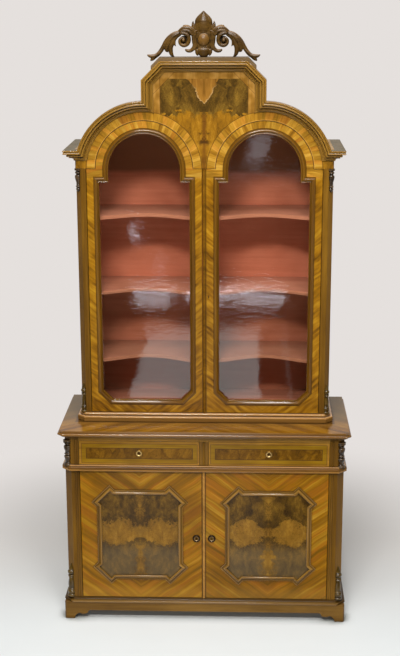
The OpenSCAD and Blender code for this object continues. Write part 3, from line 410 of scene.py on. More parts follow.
def door_veneer(name, side):
    """Broad striped veneer laid in a V about each lower door's middle."""
    s = Shader(name)
    x, _, z = s.axes()
    off = abs(x - side * OCT_X * MM)
    across, along = slanted(z, off, (s.noise((x, z), 9, (side,), 2) - 0.5) * 0.016, 36)
    broad = s.noise((across, along * 0.5), (34, 2.0), (3.1, side), 2, 0.5)
    narrow = s.noise((across, along * 0.5), (105, 3), (7.1, side), 2, 0.5)
    strips = broad * 0.65 + narrow * 0.35
    figure, thin = tone(s, (along, across), (3, 90), (9, 520), (side, 2.0))
    level = strips * 0.6 + figure * 0.4
    s.colour = s.ramp(level, [(0.34, 88, 60, 6), (0.43, 112, 75, 2), (0.5, 133, 86, 2), (0.56, 147, 104, 10),
                              (0.64, 168, 124, 32)])
    cut = s.noise((across, along * 0.35), (32, 5), (side * 5, 3.3), 3, 0.6)
    s.lay(s.step(cut, 0.51, 0.6) * 0.22, (176, 96, 24))
    s.lay(s.step(cut, 0.45, 0.37) * 0.26, (82, 58, 18))
    pores = s.noise((across, along * 0.05), (300, 30), (side, 6.1), 3, 0.7)
    s.lay(s.step(pores, 0.56, 0.7) * 0.35, (70, 44, 8))
    # Painted light: the lowest part of the door lightened, as by light off the floor
    s.lay(s.step(z, 0.17, 0.12) * 0.14, (206, 158, 66))
    knots = s.noise((x, z), 26, (side * 7, 1.5), 1)
    s.lay(s.step(knots, 0.8, 0.86), (50, 28, 8))
    # Bead over the joint of the two doors, and a painted shadow beside it
    off_joint = abs(x + 0.001)
    s.lay(s.step(off_joint, 0.0064, 0.0058) * 0.85, s.ramp(figure, [(0.3, 140, 96, 34), (0.6, 176, 130, 66)]))
    s.lay(s.line(off_joint, 0.0078, 0.0014, 0.001) * 0.7, (60, 36, 8))
    worn_and_shaded(s)
    return s.finish(0.3 + thin * 0.15, thin, 0.1, 0.0004)


def burl_field(s, u, v, shift, scale=1.0):
    """Curly burl figure from 0 to 1 and its fine eyes."""
    p = s.point((u, v))
    warp = s.noise(p, 12 * scale, shift, 3, 0.6)
    q = s.point((u + warp * 0.06, v + warp * 0.11))
    cloud = s.noise(q, (17 * scale, 11 * scale), shift, 4, 0.62, 0.7)
    curl = s.noise(q, (60 * scale, 34 * scale), shift, 4, 0.66, 0.9)
    eyes = s.noise(p, (260 * scale, 190 * scale), shift, 3, 0.7, 0.5)
    return cloud * 0.5 + (curl * 0.28 + eyes * 0.22), eyes


def door_burl(name, side):
    """Book-matched burl of a lower door's panel: dark above and below, a light band of lobes between."""
    s = Shader(name)
    x, _, z = s.axes()
    u = abs(x - side * OCT_X * MM)
    v = z - OCT_Z * MM
    field, eyes = burl_field(s, u, v, (side * 2.3, 0.4))
    rag = (s.noise((u, v), 20, (side, 5), 3, 0.6) - 0.5) * 0.1
    teeth = (s.noise((u, v), 85, (side, 2), 6, 0.8, 0.8) - 0.5) * 0.11
    ragged = rag + teeth
    lobe = s.math("COSINE", (u - 0.096) * 30) * (0.016 if side < 0 else 0.024)
    half = (0.05 if side < 0 else 0.044) + lobe + ragged
    depth = half - abs(v - 0.014)
    band = s.step(depth, -0.008, 0.014)
    flame_at = abs(v - 0.03) * 0.17 + ragged - (u + 0.006)
    flame = s.step(flame_at, -0.012, 0.014)
    streaks = s.noise((u, v), (34, 13), (side * 4, 2), 5, 0.66, 0.8)
    field = field * 0.68 + streaks * 0.32
    dark = s.ramp(field, [(0.38, 36, 24, 4), (0.45, 66, 44, 8), (0.52, 88, 62, 14), (0.6, 118, 84, 20),
                          (0.7, 144, 104, 32)])
    light = s.ramp(field, [(0.38, 84, 56, 12), (0.45, 116, 80, 20), (0.53, 138, 98, 28), (0.64, 160, 118, 42)])
    s.colour = s.mix(s.most(band * 0.9, flame * 0.8), dark, light)
    s.lay(s.line(depth, -0.004, 0.004, 0.008) * 0.45, (42, 28, 6))
    pits = s.noise((u, v), 170, (side * 2, 6), 2, 0.5)
    s.lay(s.step(pits, 0.64, 0.72) * 0.5, (48, 30, 8))
    shade = s.step(s.noise((u, v), 9, (side * 3, 1), 2), 0.4, 0.7)
    s.lay(shade * 0.3, (52, 36, 14))
    # Low part greyed, partly by age and partly as a painted reflection of the pale floor
    mottle = s.noise((u, v), 16, (side * 9, 4), 5, 0.7, 0.6)
    s.lay(s.step(mottle, 0.5, 0.66) * 0.3, (48, 34, 16))
    s.lay(s.step(mottle, 0.48, 0.34) * 0.3, (132, 96, 28))
    grey = s.step(v, -0.01, -0.09) * (1.0 - s.most(band, flame) * 0.8)
    s.lay(grey * 0.3, (112, 98, 74))
    return s.finish(0.24 + eyes * 0.14, eyes, 0.06, coat=(0.15, 0.12))


def drawer_veneer(name, side):
    """Yellow-gold banding round a darker burr field."""
    s = Shader(name)
    x, _, z = s.axes()
    # Burr field's middle and half sizes, and how far out a place lies from its edge, in metres
    mid_x, mid_z, half_w, half_h = 0.274, 0.7636, 0.226, 0.0235
    edge = s.most(abs(x * side - mid_x) - half_w, abs(z - mid_z) - half_h)
    figure, thin = tone(s, (x, z), (5, 40), (10, 420), (side, 9))
    field = burl_field(s, x, z, (side * 4.1, 3.7), 1.5)[0]
    inner = s.ramp(field, [(0.36, 56, 34, 0), (0.46, 88, 56, 0), (0.56, 114, 76, 4), (0.68, 138, 98, 16)])
    band = s.ramp(figure, [(0.3, 102, 72, 4), (0.5, 128, 92, 6), (0.72, 148, 114, 20)])
    outer = s.ramp(figure, [(0.3, 110, 74, 16), (0.5, 144, 101, 28), (0.72, 168, 124, 46)])
    s.colour = s.mix(s.step(edge, -0.0004, 0.0004), inner, band)
    s.lay(s.line(edge, 0.0, 0.0008), (62, 38, 16))
    s.lay(s.step(edge, 0.0196, 0.0204), outer)
    s.lay(s.line(edge, 0.02, 0.0006), (84, 52, 20))
    worn_and_shaded(s, 0.25)
    return s.finish(0.28 + thin * 0.14, thin, 0.08)


def arch_place(s):
    """Place, place from the nearer arch's centre, and radius and turned length round it."""
    x, _, z = s.axes()
    dx = abs(x) - ARCH_X * MM
    dz = z - ARCH_Z * MM
    r = s.radius(dx, dz)
    return x, z, dx, dz, r, s.math("ARCTAN2", dz, dx) * 0.2


def radial_band(s, r, turned, shift):
    """Cross-grained blocks laid round an arch, each cut from another piece of veneer."""
    uneven = s.noise((turned,), (9, 1), shift, 1) * 0.05
    run = (turned + r * 0.22 + uneven) / 0.0165
    cell = s.math("FLOOR", run)
    tint = s.random(cell + shift[0] * 7.3)
    hue = s.random(cell + (shift[0] * 3.1 + 40.5))
    figure = tone(s, (r, turned), (8, 70), (12, 360), shift)[0]
    level = (0.42 + tint * 0.16) * 0.6 + figure * 0.4
    wood = s.ramp(level, [(0.42, 104, 68, 12), (0.47, 140, 96, 20), (0.52, 164, 118, 32), (0.58, 184, 140, 54)])
    wood = s.mix(s.step(hue, 0.66, 0.8) * 0.3, wood, (180, 108, 36))
    wood = s.mix(s.step(hue, 0.34, 0.2) * 0.25, wood, (120, 92, 26))
    joint = s.step(s.math("PINGPONG", run, 0.5), 0.05, 0.02)
    return s.mix(joint * 0.35, wood, (78, 50, 14))


def glass_frame_veneer(name, side):
    """Glazed door frame: slanting stripes on the stiles, fanned corners, radial blocks in the arch."""
    s = Shader(name)
    x, z, dx, dz, r, turned = arch_place(s)
    off = abs(dx)
    across, along = slanted(z, off, (s.noise((x, z), 14, (side,), 2) - 0.5) * 0.014, 38)
    strips = s.noise((across, along), (22, 9), (side * 3, 7), 2, 0.5)
    narrow = s.noise((across, along), (80, 9), (side * 5, 3), 3, 0.6)
    figure, fine = tone(s, (along, across), (4, 90), (9, 480), (side, 4))
    level = strips * 0.3 + narrow * 0.45 + figure * 0.25
    stile = s.ramp(level, [(0.36, 74, 46, 4), (0.43, 112, 72, 6), (0.49, 138, 92, 8), (0.6, 168, 122, 26)])
    s.colour = s.mix(s.step(dz, -0.0335, -0.0325), stile, radial_band(s, r, turned, (side,)))
    # Painted shade in a line outside the sash
    high = s.most(dz, 0.0)
    round_top = s.radius(dx, high) - (SASH_HW - SASH_STEP) * MM
    corner = (off - z + (SASH_Z0 - SASH_HW + SASH_CUT) * MM) * 0.7071
    below = s.most(off - SASH_HW * MM, SASH_Z0 * MM - z, corner)
    shoulder = s.both(s.step(z, (SASH_Z1 + 4.5) * MM, (SASH_Z1 + 3) * MM), s.step(off, 0.2105, 0.209))
    outside = s.most(s.step(round_top, 0.0048, 0.0028), shoulder)
    outside = s.mix(s.step(z, (SASH_Z1 - 1) * MM, (SASH_Z1 + 1) * MM), s.step(below, 0.0048, 0.0028), outside)
    s.lay(outside * 0.8, (66, 38, 6))
    strip = s.step(abs(x + 0.0008), 0.0105, 0.0092)
    s.lay(strip * 0.85, s.ramp(figure, [(0.3, 72, 44, 4), (0.6, 112, 74, 12)]))
    worn_and_shaded(s, 0.3)
    return s.finish(0.28 + fine * 0.14, fine, 0.08)


def face_veneer(name):
    """Face board: arch bands, crossbanded border, burl field and golden crotch between the arches."""
    s = Shader(name)
    x, z, _, _, r, turned = arch_place(s)
    ax = abs(x)
    # Golden crotch: grain rising and opening from the middle line
    lift = ax * -1.1 + z * 0.5
    sway = s.noise((ax, z), 14, (4, 4), 3, 0.6) * 0.06
    crotch, fine = tone(s, (lift + sway, ax + sway), (11, 26), (24, 200), (2, 6))
    mottle = burl_field(s, ax, z, (6.1, 1.4), 1.3)[0]
    crotch = crotch * 0.5 + mottle * 0.5
    gold = s.ramp(crotch, [(0.38, 74, 48, 8), (0.45, 114, 76, 14), (0.52, 138, 94, 16), (0.62, 166, 120, 34)])
    bend = (s.noise((z,), (24, 1), (3, 3), 3, 0.6) - 0.5) * 0.02
    vein = s.step(abs(x + bend), 0.014, 0.001) * s.step(z, 2.228, 2.19)
    gold = s.mix(vein * (0.3 + mottle * 0.6), gold, (92, 52, 14))
    knot = s.noise((ax, z), (44, 36), (8, 8), 3, 0.6)
    near_tip = s.both(s.step(ax, 0.034, 0.010), s.step(z, 2.045, 2.065), s.step(z, 2.135, 2.085))
    gold = s.mix(near_tip * s.step(knot, 0.46, 0.58), gold, (72, 44, 12))
    # Burl field with chamfered upper corners and a jagged lower edge
    ragged = (s.noise((ax, z), (17, 22), (1, 8), 5, 0.66, 0.4) - 0.5) * 0.2
    field = burl_field(s, ax, z, (1.7, 2.9))[0]
    burl = s.ramp(field, [(0.38, 40, 28, 6), (0.45, 66, 46, 12), (0.52, 88, 63, 18), (0.6, 114, 84, 26),
                          (0.68, 140, 106, 34)])
    low = s.step(z + ragged, 2.172, 2.186)
    # The field's half width, its top and the sum of both along its cut corners, in metres
    limits, soft = ((ax, 0.1784), (z, 2.3204), (ax + z, 2.4654)), 0.0004
    inside = s.both(*(s.step(value, limit + soft, limit - soft) for value, limit in limits))
    # Pinkish V with a wavy pale rim, let into the burl
    wavy = (s.noise((x, z), 26, (6, 2), 3, 0.6) - 0.5) * 0.07
    side = z - 2.223 - (ax * 1.5 + wavy)
    vee = s.step(side, -0.001, 0.001)
    s.colour = s.mix(s.both(low, inside) * (1.0 - vee), gold, burl)
    flame = tone(s, (z, ax * 0.6), (5, 40), (12, 300), (7, 3))[0]
    rosy = s.ramp(flame, [(0.36, 88, 56, 14), (0.47, 120, 80, 24), (0.6, 150, 104, 38)])
    s.lay(s.both(vee, s.step(z, 2.21, 2.24)), rosy)
    pale = s.both(s.line(side, -0.004, 0.0026, 0.002), s.step(z, 2.305, 2.265))
    s.lay(pale * 0.6, (190, 150, 92))
    s.lay(s.line(side, -0.0095, 0.0018) * 0.6, (58, 36, 14))
    # Banding round the burl
    frame_grain = tone(s, (z, x), (6, 40), (12, 380), (3, 3))[0]
    blocks = s.noise((ax + z * 0.2, z - ax * 0.2), 22, (2, 9), 1)
    border = s.ramp(frame_grain * 0.5 + blocks * 0.5, [(0.36, 108, 72, 18), (0.48, 136, 95, 32),
                                                       (0.6, 168, 124, 58)])
    outside = s.most(*(s.step(value, limit - soft, limit + soft) for value, limit in limits))
    s.lay(outside * s.step(z, 2.1, 2.12), border)
    rim = s.most(s.line(ax, 0.1784, 0.0007), s.line(ax + z, 2.4654, 0.0009))
    s.lay(s.both(rim, s.step(z, 2.18, 2.2)) * 0.7, (78, 48, 18))
    # Bands round the arches
    cornice = CORNICE_R * MM
    s.lay(s.step(r, cornice + 0.0008, cornice), radial_band(s, r, turned, (5, 1)))
    s.lay(s.line(r, cornice + 0.0004, 0.0009) * 0.8, (70, 42, 12))
    s.lay(s.line(r, 0.2038, 0.001) * 0.5, (200, 150, 76))
    s.lay(s.line(r, 0.2018, 0.001) * 0.8, (60, 36, 12))
    worn_and_shaded(s, 0.3)
    return s.finish(0.28 + fine * 0.14, fine, 0.08)


def top_veneer(name):
    """Polished worktop: slanting strips that meet on the middle line."""
    s = Shader(name)
    x, y, _ = s.axes()
    row = abs(x)
    across = row * 0.62 + y * 0.78
    along = row * 0.78 - y * 0.62
    strips = s.noise((across, along), (19, 1.5), (2, 2), 2, 0.45)
    figure, thin = tone(s, (along, across), (4, 70), (8, 400))
    level = strips * 0.55 + figure * 0.45
    s.colour = s.ramp(level, [(0.36, 94, 58, 6), (0.48, 124, 80, 10), (0.6, 148, 102, 24)])
    # Dust greying the back of the top, partly a painted sheen
    dust_and_sheen = s.step(y, -0.22, 0.02) * (0.5 + s.noise(s.coord(), 9) * 0.5)
    worn_and_shaded(s, 0.3)
    s.lay(dust_and_sheen, (106, 91, 66))
    # Painted contact shadow where the upper case stands on the top
    painted_contact_shadow = s.both(s.step(y, -0.136, -0.124), s.step(abs(x), 0.562, 0.552))
    s.lay(painted_contact_shadow * 0.75, (62, 34, 2))
    return s.finish(0.18 + thin * 0.12 + dust_and_sheen * 0.3, thin, 0.04, coat=(0.3, 0.1))


def turned(name, dark, plain, light, edge_wear_and_highlight):
    """Dark polished turning, with painted shade in its recesses and its rings lighter: partly rubbed wear, partly
    painted highlight.
    """
    s = Shader(name)
    rub = s.noise(s.coord(), (40, 40, 30), (), 4, 0.6)
    s.colour = s.ramp(rub, [(0.3, *dark), (0.5, *plain), (0.75, *light)])
    # Painted shade in the recesses
    s.lay(s.step(s.open_to(0.01), 0.85, 0.35) * 0.7, (14, 9, 4))
    # Rings lighter: partly rubbed wear, partly painted highlight
    s.lay(s.step(s.shape("Pointiness"), 0.51, 0.58) * 0.5, edge_wear_and_highlight)
    return s.finish(0.24 + rub * 0.2, rub, 0.1, 0.0004, coat=(0.7, 0.14))


def carved_walnut(name):
    s = Shader(name)
    x, y, z = s.axes()
    figure, thin = tone(s, (x, z, y), (6, 30, 30), (20, 240, 240))
    s.colour = s.ramp(figure, [(0.28, 36, 24, 6), (0.46, 62, 42, 12), (0.6, 84, 59, 20), (0.8, 108, 78, 32)])
    # Painted highlight: the ball lightened
    ball = s.radius(x, z - (CAP_TOP + 69) * MM)
    s.lay(s.step(ball, 0.0235, 0.021) * 0.4, (122, 84, 34))
    # Upward faces lighter: partly dust, partly painted light from above
    up = s.axes(s.shape("Normal"))[2]
    s.lay(s.step(up, 0.35, 0.9) * 0.5, (142, 114, 84))
    # Painted shade in the recesses
    s.lay(s.step(s.open_to(0.014, 8), 0.92, 0.4) * 0.85, (22, 14, 5))
    # Painted highlight on the ridges
    s.lay(s.step(s.shape("Pointiness"), 0.52, 0.6) * 0.35, (140, 108, 70))
    return s.finish(0.34 + thin * 0.2, thin, 0.1, 0.0004, coat=(0.3, 0.25))


def paint(name, light=(230, 136, 106), dark=(202, 110, 82), edge=None):
    """Old brick-red paint, brushed along X, scuffed and faded, darker brown above about 1.9 m inside the arches, with
    painted shade in the lower bays. The outer face of the back is raw wood. The shelves' tops and front edges are
    painted lighter: painted light, on the tops partly dust; edge is the front edges' tone."""
    s = Shader(name)
    _, y, z = s.axes()
    brush = s.noise(s.coord(), (3, 120, 60), (), 4, 0.6)
    cloud = s.noise(s.coord(), 4, (3, 3, 3), 4, 0.6)
    level = brush * 0.4 + cloud * 0.6
    s.colour = s.ramp(level, [(0.3, *dark), (0.6, *light)])
    facing = s.axes(s.shape("Normal"))
    if edge:
        # Painted light: tops lighter, partly dust, and front edges in the edge tone
        s.lay(s.step(facing[2], 0.4, 0.8), s.ramp(level, [(0.3, 168, 98, 74), (0.6, 202, 128, 104)]))
        s.lay(s.step(facing[1], -0.3, -0.8), edge)
    # Painted shade: the lower bays darker
    s.lay(s.step(z, 1.426, 1.42) * 0.3, (96, 64, 40))
    chips = s.noise(s.coord(), 60, (1, 0, 2), 3, 0.7)
    s.lay(s.step(chips, 0.74, 0.78), (120, 84, 50))
    # Darker brown above about 1.9 m, inside the arches
    lap = z + (cloud - 0.5) * 0.03
    s.lay(s.step(lap, 1.885, 1.91) * 0.85, (140, 82, 52))
    behind = s.both(s.step(facing[1], 0.5, 0.8), s.step(y, 0.245, 0.25))
    s.lay(behind, s.ramp(brush, [(0.3, 98, 74, 46), (0.55, 126, 98, 64), (0.8, 148, 120, 84)]))
    return s.finish(0.5 + brush * 0.2, brush, 0.15, 0.0005, BARE)


def case_floor(name):
    """Upper case's floor: painted on top inside; its front edge walnut darkened toward black, partly the wood, partly
    painted shade in the gap under the doors.
    """
    s = Shader(name)
    brush = s.noise(s.coord(), (3, 120, 60), (), 4, 0.6)
    figure, thin = tone(s, s.coord())
    # Walnut darkened toward black: partly the wood, partly painted shade
    s.colour = s.mix(0.6, s.ramp(figure, WALNUT), (24, 14, 6))
    painted = s.step(s.axes()[1], -0.079, -0.074)
    s.lay(painted, s.ramp(brush, [(0.3, 160, 90, 68), (0.6, 192, 116, 92)]))
    return s.finish(0.5 + thin * 0.2, brush, 0.15, 0.0005, BARE)


def escutcheon(name, x0, z0, dark, dull, bright, rim=(6.6, 10.8)):
    """Keyhole ring: dark hole, bright rim between two radii, duller outer rim."""
    s = Shader(name)
    x, _, z = s.axes()
    r = s.radius(x - x0 * MM, z - z0 * MM)
    rub = s.noise(s.coord(), 400, (), 3, 0.6)
    s.colour = s.mix(s.step(r, rim[0] * MM, (rim[0] + 0.8) * MM), dark, bright)
    s.lay(s.step(r, rim[1] * MM, (rim[1] + 1.6) * MM), dull)
    s.lay(s.step(rub, 0.4, 0.7) * 0.35, dark)
    return s.finish(0.24 + rub * 0.25, rub, 0.1, 0.0002, BARE, 0.85)


def iron(name):
    s = Shader(name)
    rub = s.noise(s.coord(), 180, (), 4, 0.65)
    s.colour = s.ramp(rub, [(0.3, 60, 56, 52), (0.6, 104, 100, 94), (0.85, 140, 136, 130)])
    return s.finish(0.35 + rub * 0.25, rub, 0.1, 0.0002, BARE, 1.0)


def old_glass(name):
    """Thin drawn glass with slight ripples; rays pass straight through."""
    s = Shader(name)
    broad = s.noise(s.coord(), (7, 7, 5), (), 2, 0.5, 0.6)
    fine = s.noise(s.coord(), (24, 24, 70), (), 3, 0.55, 0.8)
    ripple = broad * 0.8 + fine * (0.2 + s.step(s.axes()[2], 1.2, 1.27) * 0.12)
    bump = s.bump(ripple, 0.5, 0.001)
    gloss = s.get("BsdfGlossy", 0, {"Color": (1, 1, 1, 1), "Roughness": 0.004, "Normal": bump})
    clear = s.get("BsdfTransparent", 0, {"Color": (0.93, 0.95, 0.93, 1)})
    # The index turns over where a ray leaves the pane, or the inner face would mirror the whole room
    index = 1.5 - s.shape("Backfacing") * (1.5 - 1 / 1.5)
    return s.blend(s.get("Fresnel", 0, {"IOR": index, "Normal": bump}), clear, gloss)


M = {
    "post": board_material("post veneer", OLIVE, "z", 0.36, 0.3, (1,)),
    "side": board_material("side board", OLIVE, "z", 0.42, 0.35, (4, 2), (1.2, 9, 9)),
    "plinth": board_material("plinth veneer", [(0.25, 74, 48, 14), (0.5, 108, 76, 26), (0.75, 136, 100, 42)], "x"),
    "plinth_side": board_material("plinth side", [(0.25, 66, 40, 12), (0.5, 98, 66, 22), (0.75, 124, 88, 34)], "y"),
    "rail": board_material("rail walnut", WALNUT, "x", 0.36),
    # Frieze in a lighter walnut, painted light against the shade under the worktop
    "frieze": board_material("frieze walnut", shades((96, 64, 14), (132, 92, 28), (154, 112, 42), (178, 136, 66)),
                             "x", 0.34),
    "cap": board_material("dusty capping", [(0.3, 72, 56, 34), (0.5, 96, 76, 50), (0.75, 118, 94, 66)], "x", 0.55),
    "raw": board_material("raw softwood", [(0.3, 126, 98, 62), (0.55, 164, 134, 92), (0.8, 188, 160, 116)], "x",
                          0.65),
    "moulding": moulding_material("moulding walnut", shades((62, 36, 8), (98, 62, 18), (120, 80, 26),
                                                            (144, 102, 42))),
    # Pale bead: painted light on its flat tops, painted shade on faces that don't look up
    "bead": moulding_material("pale bead", shades((98, 62, 18), (134, 92, 36), (156, 112, 52), (178, 136, 76)),
                              shift=(2, 4), under=0.55, shelf=0.5),
    "plinth_cap": moulding_material("plinth cap", shades((58, 38, 8), (90, 62, 18), (110, 80, 28), (134, 102, 46)),
                                    shift=(5, 3), painted_shade_depth=-0.2405),
    "cornice": moulding_material("cornice walnut", shades((70, 48, 10), (104, 73, 20), (124, 90, 30),
                                                          (150, 114, 52)),
                                 shift=(3, 1), light=(160, 118, 62), corner_shade=0.2, dusty=True, painted_light_below=0.35),
    "sash": moulding_material("sash walnut", shades((54, 32, 2), (90, 56, 4), (112, 76, 14), (140, 102, 38)), 0.3,
                              (6, 2)),
    "panel": moulding_material("panel moulding", shades((78, 52, 10), (114, 80, 24), (138, 100, 38),
                                                        (164, 124, 60)),
                               0.28, (8, 3), (196, 150, 92), 0.6, painted_shade_depth=-0.2366),
    "top": top_veneer("worktop veneer"),
    "face": face_veneer("face veneer"),
    "ebony": turned("ebonised turning", (26, 18, 10), (46, 34, 22), (84, 62, 38), (132, 104, 70)),
    "stained": turned("stained turning", (38, 26, 6), (66, 48, 12), (98, 74, 24), (150, 120, 70)),
    "carving": carved_walnut("carved walnut"),
    "back": paint("painted back"),
    "shelf": paint("painted shelf", (172, 98, 74), (146, 78, 56), (200, 124, 96)),
    "case_floor": case_floor("painted case floor"),
    "iron": iron("old iron"),
    "glass": old_glass("drawn glass"),
}

# Nodes by material
BOARDS = {
    "plinth": "plinth_front", "plinth_side": "plinth_returns", "rail": "mid_rail", "frieze": "frieze_rail",
    "side": "lower_side_left lower_side_right upper_side_left upper_side_right",
    "post": "lower_posts drawer_divider upper_posts",
    "raw": "lower_bottom lower_back drawer_bed lower_shelf crest_braces roof",
    "case_floor": "upper_bottom", "back": "upper_back shelf_battens", "shelf": "case_shelves",
    "face": "face_board", "cap": "crest_cap", "carving": "carving", "iron": "pivot_pins glass_door_right_lock"}


def dress(node, material, bevel=0.6, smooth=True):
    """Gives a CAD node its material, joined faces and slightly eased edges."""
    obj = NODES[node]
    mesh = obj.data
    mesh.materials.clear()
    mesh.materials.append(material)
    if "custom_normal" in mesh.attributes:
        mesh.attributes.remove(mesh.attributes["custom_normal"])
    mesh.polygons.foreach_set("use_smooth", [smooth] * len(mesh.polygons))
    weld = obj.modifiers.new("joined faces", "WELD")
    weld.merge_threshold = 0.00002
    if bevel:
        soft = obj.modifiers.new("eased edges", "BEVEL")
        soft.width = bevel * MM
        soft.segments = 2
        soft.limit_method = "ANGLE"
        soft.angle_limit = math.radians(30)
        soft.harden_normals = True


def dress_boards():
    for key, nodes in BOARDS.items():
        for node in nodes.split():
            dress(node, M[key])
    for side, m in SIDES:
        drawer, low, high = f"drawer_{side}_", f"lower_door_{side}_", f"glass_door_{side}_"
        dress(drawer + "front", drawer_veneer(f"drawer veneer {side}", m))
        dress(drawer + "box", M["raw"])
        dress(drawer + "bottom", M["raw"])
        dress(drawer + "lock", escutcheon(f"drawer ring {side}", m * DRAWER_LOCK[0], DRAWER_LOCK[1], (22, 14, 6),
                                          (150, 112, 50), (214, 182, 120)), 0.15)
        dress(low + "board", door_veneer(f"door veneer {side}", m))
        dress(low + "lock", escutcheon(f"door ring {side}", m * DOOR_LOCK[0], DOOR_LOCK[1], (18, 12, 8),
                                       (56, 40, 24), (176, 150, 112), (7.6, 8.8)), 0.15)
        dress(low + "pivots", M["iron"], 0.2)
        dress(high + "frame", glass_frame_veneer(f"frame veneer {side}", m))
        dress(high + "pane", M["glass"], 0, smooth=False)
        dress(high + "beads", M["rail"], 0.4)
        dress(high + "pivots", M["iron"], 0.2)


# Mouldings

def case_mouldings():
    swept("worktop_slab", plan_rows(WORKTOP, CASE_TOP, TOP_HW, TOP_FRONT, BACK, TOP_CUT), M["moulding"], M["top"],
          lids=[(0, 0), (len(WORKTOP) - 1, 1)], replaces="worktop")
    swept("plinth_cap", plan_rows(PLINTH, PLINTH_Z, LOW_HW, LOW_FRONT, BACK, POST_CUT), M["plinth_cap"],
          replaces="plinth_moulding")
    swept("upper_plinth", plan_rows(BASE, TOP_Z, UP_HW, UP_FRONT, CASE_BACK, UP_CUT), M["bead"],
          replaces="upper_base")
    swept("rail_moulding", plan_rows(RAIL, RAIL_Z, LOW_HW, LOW_FRONT, CASE_BACK, POST_CUT), M["bead"])


def circle_at_line(r, low, high):
    """Angle where a circle round the arch's centre crosses the line through two points, nearest their middle."""
    a, d = Vector(low), Vector(high) - Vector(low)
    f = a - Vector((ARCH_X, ARCH_Z))
    qa, qb, qc = d.dot(d), 2 * f.dot(d), f.dot(f) - r * r
    root = math.sqrt(max(qb * qb - 4 * qa * qc, 0))
    t = min(((-qb + root) / (2 * qa), (-qb - root) / (2 * qa)), key=lambda v: abs(v - 0.5))
    p = f + t * d
    return math.atan2(p.y, p.x)


def cornices():
    n = 72
    inner, top = [(hw, CREST_LOW + hw) for hw in (CREST_HW - CORNICE_W, CREST_HW)]
    for side, m in SIDES:
        arches, ends = [], []
        for d, p in CORNICE_LINE:
            r, y, z = CORNICE_R + d, UP_FRONT - p, IMPOST_Z + d
            a0, a1 = circle_at_line(r, MITRE_A, MITRE_B), circle_at_line(r, inner, top)
            turn = [a0 + (a1 - a0) * i / n for i in range(n + 1)]
            arches.append([(m * (ARCH_X + r * math.cos(t)), y, ARCH_Z + r * math.sin(t)) for t in turn])
            x0 = MITRE_A[0] + (MITRE_B[0] - MITRE_A[0]) * d / CORNICE
            ends.append([(m * x0, y, z), (m * (UP_HW + p), y, z), (m * (UP_HW + p), CASE_BACK, z)])
        swept(f"arch_cornice_{side}", arches, M["cornice"], replaces=m < 0 and "arch_cornices")
        swept(f"side_cornice_{side}", ends, M["cornice"], replaces=m < 0 and "side_cornices")


def crest_outline(d):
    """Crest moulding's path, d millimetres out from its inner edge."""
    hw, top = CREST_HW - CORNICE_W + d, CREST_TOP - CORNICE_W + d
    cut = CREST_CUT - CORNICE_W * K45 + d * K45
    right = [(hw, CREST_LOW + hw), (hw, top - cut), (hw - cut, top)]
    return right + [(-x, z) for x, z in reversed(right)]


def crest():
    rows = [[(x, UP_FRONT - p, z) for x, z in crest_outline(d)] for d, p in CORNICE_LINE]
    swept("crest_frame", rows, M["cornice"], replaces="crest_moulding")


def octagon(d):
    """Octagon with ears on its slanting sides, d millimetres in from its outer edge."""
    k = math.sqrt(2)
    flat_z = OCT_FLAT + OCT_HH - OCT_HW
    quarter = [(OCT_FLAT + (k - 1) * d, OCT_HH - d), (OCT_FLAT + OCT_EAR, OCT_HH + OCT_EAR - k * d),
               (OCT_HW + OCT_EAR - k * d, flat_z + OCT_EAR), (OCT_HW - d, flat_z + (k - 1) * d)]
    right = quarter + [(x, -z) for x, z in reversed(quarter)]
    return right + [(-x, z) for x, z in reversed(right)]


def octagon_mouldings():
    """Bolection mouldings and the burl panels inside them."""
    for side, m in SIDES:
        body = f"lower_door_{side}"
        rows = [[(m * OCT_X + x, LOW_FRONT - p, OCT_Z + z) for x, z in octagon(d)] for d, p in PANEL]
        swept(f"panel_moulding_{side}", rows, M["panel"], closed=True, body=body, replaces=body + "_moulding")
        rows = [[(m * OCT_X + x, LOW_FRONT + y, OCT_Z + z) for x, z in octagon(STRIP_W - 1)]
                for y in (0.5, -0.4)]
        swept(f"burl_panel_{side}", rows, door_burl(f"door burl {side}", m), closed=True, lids=[(1, 0)], body=body,
              slot="walnut_burl")


def sash_outline(d):
    a, b, c = SASH_HW - d, SASH_Z0 + d, SASH_CUT - d * K45
    r, z = SASH_HW - SASH_STEP - d, SASH_Z1 - d
    right = [(a - c, b), (a, b + c), (a, z), (r, z)] + arc(0, ARCH_Z, r, 0, 90, 40)
    return right + [(-x, v) for x, v in reversed(right[:-1])]


def sashes():
    for side, m in SIDES:
        rows = [[(m * ARCH_X + x, UP_FRONT + y, z) for x, z in sash_outline(d)] for d, y in SASH]
        swept(f"sash_moulding_{side}", rows, M["sash"], closed=True, body=f"glass_door_{side}",
              replaces=f"glass_door_{side}_sash")


# Turnings: heights from 0 to 1, and radii as parts of the largest

def swollen(shape, k):
    return [(h, min(r * k, 0.98)) for h, r in shape]


